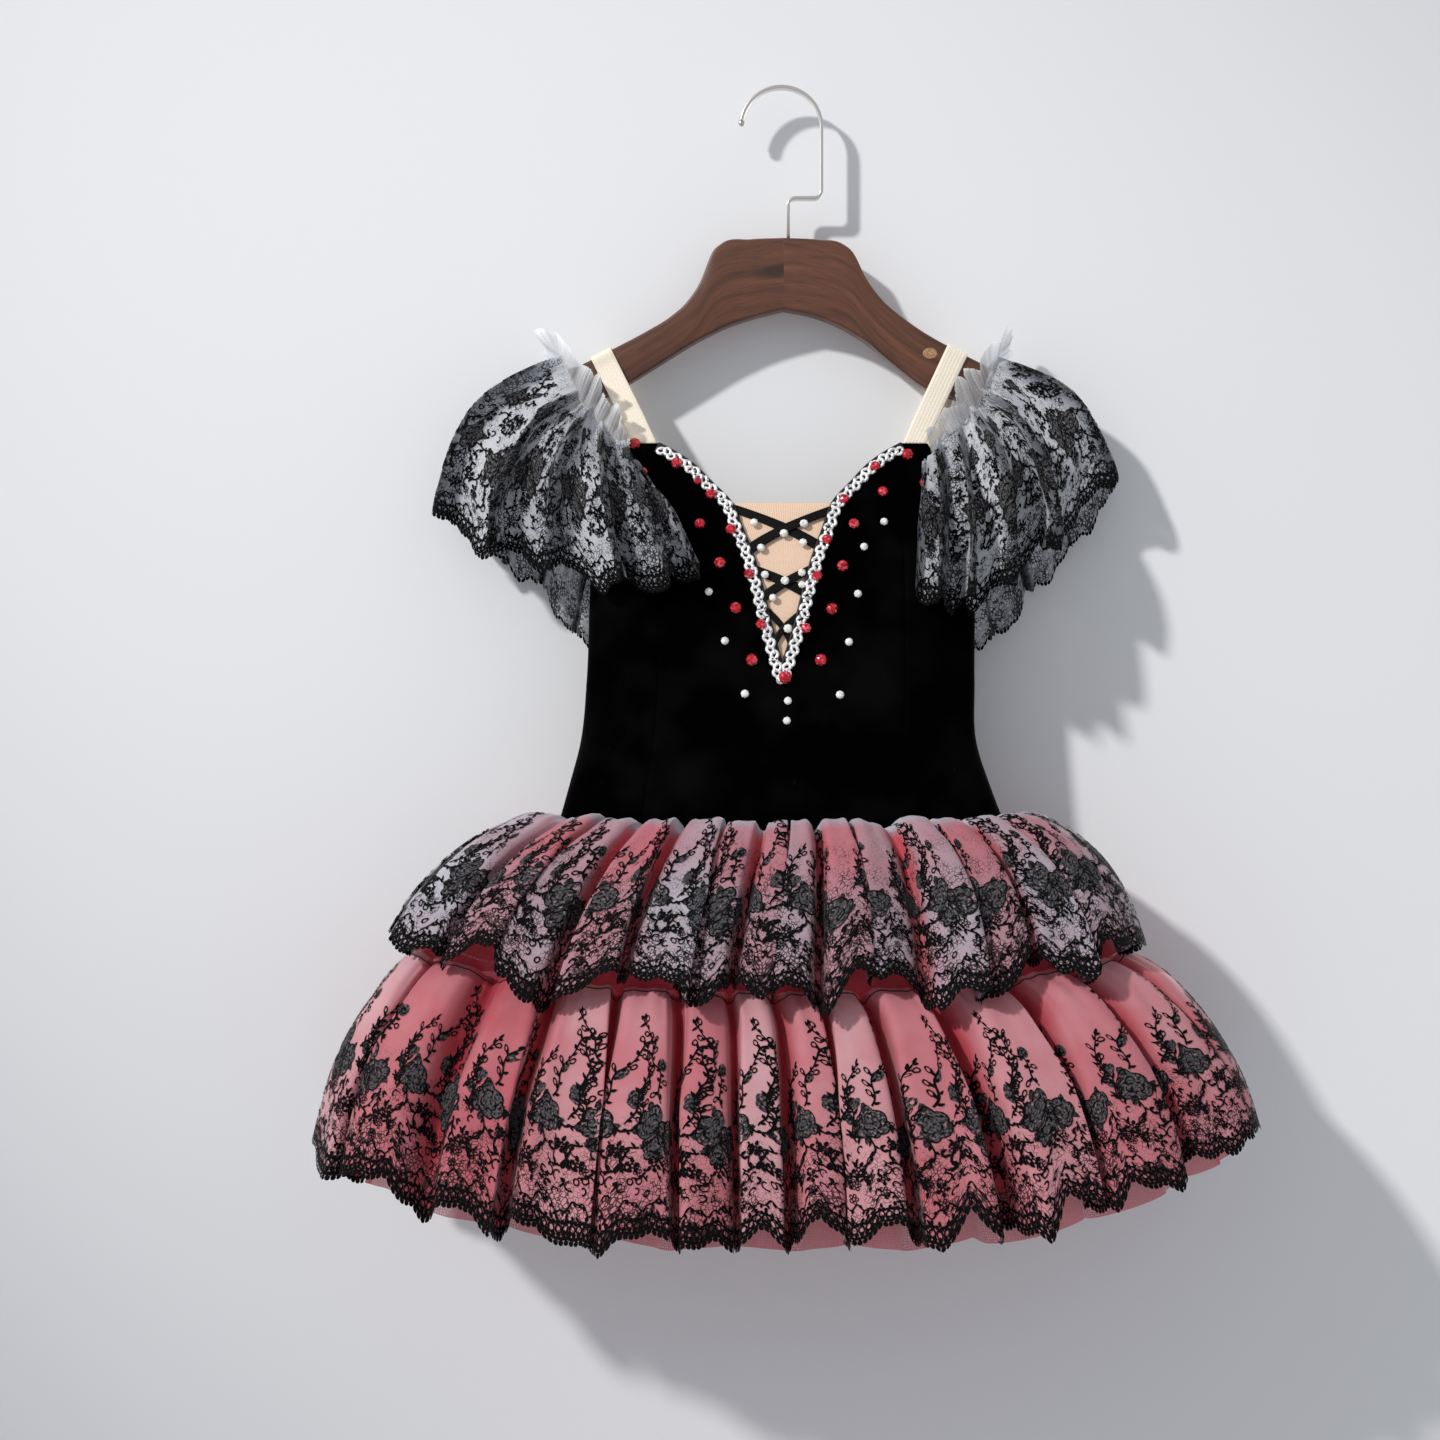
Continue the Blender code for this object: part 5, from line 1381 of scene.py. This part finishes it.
# The tulles' low tones are painted shade in the folds, their high tones painted light on ridges and doubled
# cloth.
SLEEVE_TULLE = sheer("white_tulle_under_lace", [(0.0, "#5e5f67"), (0.45, "#a0a3ac"), (1.0, "#dcdee4")],
                     (0.86, 0.96), [(0.0, 0.6), (0.012, 0.5), (0.03, 0.36), (0.12, 0.36)], glow=0.3)
FRILL_TULLE = sheer("white_tulle", [(0.0, "#b6b7bb"), (0.5, "#d8dade"), (1.0, "#f6f7f8")], (0.55, 0.9),
                    glow=0.4)
for tag, side, rays in (("l", -1, LEFT_RAYS), ("r", 1, RIGHT_RAYS)):
    strap = "elastic_strap_" + tag
    # The flounce: folds that grow towards the hem, finer waves, slanting creases and the gathers' pleats.
    u, v = np.meshgrid(np.linspace(0, 1, 521), np.concatenate([np.linspace(0, 1, 49), [1.03]]))
    wander = 0.008 * (v - 0.4) * np.sin(19 * u + side)
    rise, slide, painted_light_and_veil = soft_pleats(SLEEVE_FOLDS, np.clip(u + wander, 0, 1))
    carried = np.clip(u + slide * (0.4 + 0.6 * v), 0, 1)
    rise = (2.2 + 7.4 * v) * rise + (1.0 + 3.0 * v) * waves(u, v, 5 + side, 4, 15, 0.4)
    slack = np.sin(math.pi * v)
    rise += 2.6 * slack * np.sin(7.0 * v + 31 * u + 2 * np.sin(13 * u)) - 2.0 * slack
    rise += 0.6 * np.sin(2 * math.pi * 46 * u) * np.exp(-6 * v)
    away = grid_normals(flounce_form(rays, side, u, v)) * side
    flounce = flounce_form(rays, side, carried, v) - away * rise[..., None]
    grid = cloth_grid(flounce, LACE_SCALLOP, SCALLOP_DEPTH, FLOUNCE_HEM, carried[-2])
    grid["normals"] *= np.sign((grid["normals"][20, 100:300] * (0, -1, 0)).sum())
    painted_light_and_veil = np.maximum(painted_light_and_veil, 0.9 * np.exp(-((v / 0.10) ** 2)))[:-1]
    ground = point_values(hemmed_cloth("sleeve_tulle_" + tag, grid), "PaintedLightAndVeil", painted_light_and_veil)
    place(ground, SLEEVE_TULLE, "sleeve_lace", "sleeve_ruffle_" + tag)
    lace = place(lay_lace("sleeve_lace_" + tag, grid, SLEEVE_LACE, top_margin=11.0), LACE, "sleeve_lace")
    declare_cloth(grid["points"][:-1])
    # The heading: a row of petals, crowded together over the shoulder.
    u, v = np.meshgrid(np.linspace(0.04, 0.98, 381), np.linspace(0, 1, 15))
    petal = FRILL_FOLDS * u + 0.5 * np.sin(9 * u + side) + 0.8 * np.tanh((u - 0.48) / 0.05)
    swell = np.abs(np.sin(math.pi * petal))
    length = (0.68 + 0.32 * swell**0.5) * (0.9 + 0.18 * np.sin(2.4 * petal + side))
    form = frill_form(side, u, v * length)
    rise = 5.0 * np.sin(2.2 * v) * (swell - 0.5) + 2.0 * v * np.sin(2.1 * petal)
    rise += (0.3 + 0.9 * v) * waves(u, v, 31 + side, 4, 60)
    heading = form + grid_normals(form) * rise[..., None]
    # Painted light of the heading: paler along each petal's raised middle and towards its tip, with random
    # patches.
    painted_light_and_veil = 0.1 + 0.65 * swell * (0.4 + 0.6 * v) + 0.5 * v**6 + 0.35 * waves(u, v, 51, 4, 90)
    frill = point_values(open_cloth("sleeve_heading_" + tag, heading), "PaintedLightAndVeil", painted_light_and_veil)
    place(frill, FRILL_TULLE, "tulle", "sleeve_frill_" + tag)
    declare_cloth(heading)

# ---- Skirt ----------------------------------------------------------------------------------------------
# A pink organza yoke carries two gathered tiers: the lower sewn to its hem, pink under black lace, with a
# coral net under it, and the upper sewn over the waist, white tulle under the same lace.

YOKE = table(RING_COLUMNS, [
    (0.0, 485.2, 485.2, 485.2, -5.5, 142.5, -84, -44, -5, 0.6),
    (0.5, 530.0, 516.0, 536.0, -9.0, 180.0, -107, -58, -2, 1.8),
    (1.0, 580.5, 560.0, 590.0, -14.0, 218.0, -132, -75, 2, 2.6),
])
UPPER_TIER = table(RING_COLUMNS, [
    (0.00, 484.0, 484.0, 484.0, -5.5, 145.6, -87, -44, -1.6, 1.6),
    (0.08, 481.5, 478.0, 489.0, -5.5, 157.0, -97, -48, 0.6, 4.2),
    (0.22, 494.0, 486.0, 506.0, -6.5, 177.0, -107, -54, 3.4, 6.6),
    (0.48, 522.0, 505.0, 534.0, -10.0, 202.0, -124, -63, 6.5, 8.6),
    (0.75, 554.0, 530.0, 566.0, -14.0, 221.0, -141, -71, 9.0, 9.8),
    (1.00, 583.0, 552.0, 597.0, -17.0, 231.0, -156, -79, 10.5, 10.4),
])
LOWER_TIER = table(RING_COLUMNS, [
    (0.00, 581.2, 560.6, 590.6, -14.0, 220.4, -135, -76, 4.6, 5.0),
    (0.10, 592.0, 571.0, 604.0, -10.0, 233.0, -144, -80, 6.0, 8.0),
    (0.28, 614.0, 588.5, 630.0, -7.0, 248.0, -157, -86, 7.5, 9.6),
    (0.54, 647.0, 616.5, 666.0, -5.0, 266.0, -173, -90, 8.5, 10.8),
    (0.78, 681.0, 643.5, 698.0, -3.0, 277.0, -187, -94, 9.0, 11.6),
    (1.00, 711.0, 669.0, 725.0, -2.0, 283.0, -197, -96, 9.5, 12.2),
])
# Ridges of the gathers, with the same columns as the flounces' folds; their height is against the wave.
UPPER_FOLDS = table("at stand lean white shut", [
    (0.025, 0.7, 0.0, 0.9, 0.7), (0.085, 0.9, -0.5, 0.75, 0.9), (0.158, 1.1, 0.5, 0.35, 0.4),
    (0.226, 0.9, -0.6, 0.6, 0.8), (0.289, 1.0, 0.5, 0.35, 0.3), (0.366, 1.2, 0.6, 0.75, 1.0),
    (0.438, 0.8, -0.4, 0.5, 0.3), (0.485, 0.8, 0.4, 0.4, 0.9), (0.530, 0.9, -0.4, 0.65, 0.5),
    (0.578, 1.1, 0.5, 0.35, 0.8), (0.643, 0.8, -0.4, 0.6, 0.3), (0.706, 1.2, 0.6, 0.65, 1.0),
    (0.774, 0.9, 0.4, 0.35, 0.4), (0.832, 1.1, 0.6, 0.75, 0.9), (0.895, 1.0, 0.5, 0.35, 0.5),
    (0.960, 0.8, 0.3, 0.7, 0.8),
])
LOWER_FOLDS = table("at stand lean white shut", [
    (0.045, 0.9, -0.4, 0.8, 0.5), (0.130, 1.1, -0.6, 0.3, 0.3), (0.210, 0.8, 0.5, 0.2, 0.1),
    (0.280, 1.0, 0.6, 0.6, 0.9), (0.358, 1.1, 0.4, 0.5, 0.0), (0.428, 0.7, -0.5, 0.4, 0.8),
    (0.472, 1.0, 0.4, 0.8, 0.0), (0.522, 0.7, 0.5, 0.5, 0.4), (0.574, 1.0, -0.5, 0.7, 0.9),
    (0.632, 1.1, 0.5, 0.4, 0.1), (0.720, 1.0, 0.6, 0.6, 0.5), (0.812, 1.2, 0.6, 0.4, 0.1),
    (0.895, 0.8, 0.5, 0.6, 0.7), (0.962, 0.9, 0.3, 0.4, 0.3),
])
# How much lower than its section each hem hangs, along the front from left to right, in millimetres.
UPPER_HEM = table("at drop", [
    (0.000, -4), (0.020, -7), (0.085, 3), (0.108, -9), (0.130, 1), (0.165, -16), (0.187, -18), (0.198, -2),
    (0.240, 12), (0.275, 6), (0.325, -15), (0.350, -13), (0.400, -9), (0.413, 4), (0.440, 0), (0.456, -16),
    (0.495, 0), (0.520, -12), (0.535, -6), (0.568, 9), (0.598, -20), (0.624, -12), (0.650, -15), (0.690, 11),
    (0.710, 0), (0.760, 8), (0.800, -16), (0.830, -1), (0.870, 10), (0.885, -11), (0.945, 3), (1.000, -2),
])
LOWER_HEM = table("at drop", [
    (0.000, 4), (0.030, 3), (0.065, 17), (0.100, 6), (0.137, 0), (0.167, 16), (0.206, 1), (0.240, 15),
    (0.258, 1), (0.305, 14), (0.318, 9), (0.334, 16), (0.356, 4), (0.388, 1), (0.403, 10), (0.430, 3),
    (0.449, 8), (0.468, -5), (0.495, 7), (0.522, -12), (0.548, 6), (0.588, -8), (0.624, 13), (0.652, -11),
    (0.675, 8), (0.683, -3), (0.716, 13), (0.738, -13), (0.780, 3), (0.794, -10), (0.840, 2),
    (0.862, -13), (0.905, -5), (0.940, -10), (0.970, -6), (1.000, -4),
])
NET_HEM = table("at drop", [(0.0, 1), (0.1, 3), (0.3, -1), (0.5, -3), (0.7, -1), (0.85, -6), (1.0, -7)])


NET_INSET = 15.0
YOKE_DRAWN_IN = 3.5


def turn_at(rings, part, start):
    """Angle at a part of the way round the hem, in length, from the seam at the angle start."""
    turns = start + np.linspace(-0.02, math.pi + 0.02, 500)
    hem = tube(rings, turns, np.full(500, rings["level"][-1]))
    length = so_far(np.linalg.norm(np.diff(hem, axis=0), axis=1))
    seams = np.interp([start, start + math.pi], turns, length)
    return np.interp(seams[0] + part * (seams[1] - seams[0]), length, turns)


def gathered(rings, folds, start, columns, rows, slack, fine, seed, inset=0.0, share=1.0):
    """Grid of half a gathered piece: u goes round from the seam at the angle start, v from seam to hem.

    The smooth tube is moved along its normals by the section's wave times the folds' height, and by fine
    ripples that are strongest at the gathering thread and fade to the hem. slack is how much of the folds'
    slide is taken. Returns the points, with one row below the hem, their painted light and veil (painted
    shade low in the folds, painted light on the ridges), and where the folds carry the hem's columns.
    """
    u, v = np.meshgrid(np.linspace(0, 1, columns), np.append(np.linspace(0, 1, rows), 1 + 1.3 / rows))
    at_seams = np.clip(np.minimum(u, 1 - u) / 0.02, 0, 1)
    wander = 0.007 * (v - 0.4) * np.sin(23 * u + seed) * at_seams
    height, slide, painted_light_and_veil = soft_pleats(folds, np.clip(u + wander, 0, 1))
    carried = np.clip(u + slide * slack * np.clip(0.5 + v, 0, 1) * at_seams, 0, 1)
    turn = turn_at(rings, carried, start)
    step = 1e-3
    normal = unit(np.cross(tube(rings, turn, v + step) - tube(rings, turn, v - step),
                           tube(rings, turn + step, v) - tube(rings, turn - step, v)))
    wave = columns_at(rings, v)["wave"] * share * (0.65 + 0.35 * np.cos(turn))
    ripple = fine[0] * np.exp(-3.5 * v) * waves(u, v, seed + 3, 5, 60, 0.8)
    ripple = ripple + fine[1] * (0.3 + 0.7 * v) * waves(u, v, seed + 7, 4, 23, 0.5)
    points = tube(rings, turn, v) + normal * (wave * height + at_seams * ripple - inset)[..., None]
    return points, painted_light_and_veil, carried[-2]


YOKE_ORGANZA = sheer("pink_organza_yoke", [(0.0, "#cc4855"), (1.0, "#e27f8a")], (0.95, 0.97),
                     glow=0.2, fleck=0.03)
# The tiers' and net's low tones are painted shade deep in the gathers and their high tones painted light on
# the ridges; the upper tier's coral low tones also show the yoke through it.
PINK_ORGANZA = sheer("pink_organza_under_lace",
                     [(0.0, "#9c2330"), (0.3, "#bd4c58"), (0.65, "#cf838c"), (1.0, "#ddb0b6")], (0.94, 0.98),
                     [(0.0, 0.6), (0.01, 0.46), (0.03, 0.26), (0.06, 0.14), (0.075, 0.05), (0.09, 0.0)],
                     glow=0.25, fleck=0.03)
UPPER_TULLE = sheer(
    "white_tulle_tier",
    [(0.0, "#dc5a67"), (0.25, "#d0717c"), (0.6, "#c195a0"), (0.85, "#bdb4bf"), (1.0, "#cccdd6")],
    (0.86, 0.97), [(0.0, 0.66), (0.01, 0.54), (0.03, 0.36), (0.06, 0.28), (0.085, 0.18), (0.11, 0.08)],
    glow=0.3, fleck=0.05)
CORAL_NET = sheer("coral_net", [(0.0, "#cf4450"), (1.0, "#e58d95")], (0.55, 0.85), glow=0.35, fleck=0.2)
# Polyester thread along the seam of yoke and lower tier: the stitching is real, its dull dark red is a
# painted shadow line of the seam.
SEAM_SHADOW_THREAD = new_material("seam_thread_painted_shadow", Base_Color=linear("#2a0d12"), Roughness=0.8)[0]
# Where the upper tier lies double at the sides, by parts of the way round its front.
SIDE_DOUBLED = table("at white", [
    (0, 0.9), (0.10, 0.8), (0.17, 0), (0.84, 0), (0.88, 0.6), (0.93, 0.5), (0.97, 0.1),
])
for tag, start in (("front", -math.pi / 2), ("back", math.pi / 2)):
    # The yoke's top edge is drawn in at the side seams, so that it stays behind the velvet there.
    columns, rows = 221, 15
    from_seam = np.minimum(np.linspace(0, 1, columns), np.linspace(1, 0, columns))
    from_top = np.linspace(0, 1.07, rows + 1)[:, None]
    drawn_in = YOKE_DRAWN_IN * np.clip(1 - from_seam / 0.04, 0, 1) * np.clip(1 - from_top / 0.35, 0, 1)
    points = gathered(YOKE, UPPER_FOLDS, start, columns, rows, 0.0, (1.2, 0.4), 2, drawn_in)[0][:-1]
    yoke = place(open_cloth("organza_yoke_" + tag, points), YOKE_ORGANZA, "organza", "skirt_yoke_" + tag)
    declare_cloth(points)
    hems = [hem if tag == "front" else {"at": 1 - hem["at"][::-1], "drop": hem["drop"][::-1]}
            for hem in (NET_HEM, LOWER_HEM, UPPER_HEM)]

    points, painted_light_and_veil, _ = gathered(LOWER_TIER, LOWER_FOLDS, start, 281, 22, 0.4, (0.8, 2.6), 12, NET_INSET, 0.4)
    grid = cloth_grid(points, LACE_REPEAT, 3.0, hems[0])
    net = point_values(open_cloth("net_underskirt_" + tag, grid["points"]), "PaintedLightAndVeil", painted_light_and_veil)
    place(net, CORAL_NET, "net", "underskirt_" + tag)
    declare_cloth(grid["points"])

    for name, rings, folds, hem, columns, rows, look, slot, shift, seed in (
            ("lower", LOWER_TIER, LOWER_FOLDS, hems[1], 641, 46, PINK_ORGANZA, "organza", 20, 21),
            ("upper", UPPER_TIER, UPPER_FOLDS, hems[2], 601, 42, UPPER_TULLE, "tier_lace", 0, 41)):
        points, painted_light_and_veil, carried = gathered(rings, folds, start, columns, rows, 1.0, (1.8, 5.0), seed)
        grid = cloth_grid(points, LACE_SCALLOP, SCALLOP_DEPTH, hem, carried)
        painted_light_and_veil, down = painted_light_and_veil[:-1], np.linspace(0, 1, rows)[:, None]
        if name == "upper":
            low = np.clip(4 * down - 1.4, 0, 1)
            seam_band = 1 / (1 + np.exp((down - 0.135) / 0.02))
            sides = np.interp(carried, SIDE_DOUBLED["at"], SIDE_DOUBLED["white"])
            sides = sides if tag == "front" else sides[::-1]
            painted_light_and_veil = painted_light_and_veil * low + np.clip(1.5 * painted_light_and_veil - 0.5, 0, 1) * (1 - low)
            painted_light_and_veil = np.maximum(np.maximum(painted_light_and_veil, seam_band), 0.30 * low + sides[None] * (1 - 0.3 * down))
        else:
            painted_light_and_veil = np.maximum(painted_light_and_veil, 0.30 * np.clip(2 * down - 0.8, 0, 1))
        ground = point_values(hemmed_cloth(name + "_tier_" + tag, grid), "PaintedLightAndVeil", painted_light_and_veil)
        place(ground, look, slot, "tier_" + name + "_" + tag)
        lace = place(lay_lace(name + "_lace_" + tag, grid, ROSE_LACE, shift), LACE, "tier_lace")
        declare_cloth(grid["points"][:-1])
        if name == "lower":
            # The seam's stitching, drawn as a dark line: painted shadow along the seam.
            path = grid["points"][1] + grid["normals"][1] * 0.5
            place(tube_along("yoke_seam_shadow_thread_" + tag, path, 0.35, 5), SEAM_SHADOW_THREAD, "organza")

# ---- Wall, floor, light and camera ----------------------------------------------------------------------
# Matt white painted wall just behind the hanger and a pale floor below, a broad soft lamp high on the left
# in front, an even pale surround, and lamps behind the wall for the garment's back.

WALL_DEEP = 21.5
WALL_TOP = 2000.0
FLOOR_DROP = 1500.0
ROOM_HALF = 3000.0
FLOOR_REACH = 4000.0


def flat_card(name, look, corners):
    """A flat four-cornered card of the room."""
    made = make_mesh(name, corners, [range(4)], smooth=False)
    made.data.materials.append(look)
    return made


# The wall's paint is clear from behind, so that the garment's back can be seen past it.
paint, tree, shader = new_material("matt_wall_paint", Base_Color=linear("#e6e7ea"), Roughness=0.95)
behind = add_node(tree, "NewGeometry").outputs["Backfacing"]
one_sided = add_node(tree, "MixShader", {0: behind, 1: shader, 2: add_node(tree, "BsdfTransparent")})
wire(tree.nodes["Material Output"], {"Surface": one_sided})
wall = flat_card("wall", paint, [(x, WALL_DEEP, z) for x, z in (
    (-ROOM_HALF, -FLOOR_DROP), (ROOM_HALF, -FLOOR_DROP), (ROOM_HALF, WALL_TOP), (-ROOM_HALF, WALL_TOP))])
wall.visible_shadow = False
# Floor paint, pale and matt.
floor_paint = new_material("pale_floor", Base_Color=linear("#dfe0e2"), Roughness=0.9)[0]
flat_card("floor", floor_paint, [(x * ROOM_HALF, y * FLOOR_REACH, -FLOOR_DROP) for x, y in (
    (-1, -1), (1, -1), (1, 1), (-1, 1))])


def lamp(name, kind, energy, position, target, colour="#ffffff", **settings):
    """A lamp at a position in metres that faces a target."""
    data = bpy.data.lights.new(name, kind)
    data.energy = energy
    data.color = linear(colour)[:3]
    for key, value in settings.items():
        setattr(data, key, value)
    made = bpy.data.objects.new(name, data)
    made.location = position
    made.rotation_euler = (Vector(target) - Vector(position)).to_track_quat("-Z", "Y").to_euler()
    bpy.context.scene.collection.objects.link(made)
    return made


KEY_TARGET = Vector((0.03, 0.0, -0.35))
KEY_WAY = Vector((1.05, 1.0, -0.87)).normalized()
KEY_AWAY = 7.0
lamp("key_lamp", "SPOT", 1600.0, KEY_TARGET - KEY_WAY * KEY_AWAY, KEY_TARGET, "#fffdfa",
     shadow_soft_size=0.22, spot_size=math.radians(16.0), spot_blend=1.0)
for i, x in enumerate((-1.1, 1.1)):
    back_lamp = lamp("back_lamp_" + str(i), "AREA", 16.0, (x, 1.6, 0.1), (0, 0, -0.45), size=1.2)
    back_lamp.visible_camera = False

world = bpy.data.worlds.new("pale_surround")
world.use_nodes = True
wire(world.node_tree.nodes["Background"], {"Color": linear("#eef1f5"), "Strength": 0.61})
bpy.context.scene.world = world
bpy.context.scene.view_settings.view_transform = "Standard"

camera = bpy.data.objects.new("camera", bpy.data.cameras.new("camera"))
camera.data.lens = 56.8
camera.data.sensor_width = 36.0
camera.location = (-0.045, -1.5, -0.416)
camera.rotation_euler = (math.pi / 2, 0.0, 0.0)
bpy.context.scene.collection.objects.link(camera)
bpy.context.scene.camera = camera
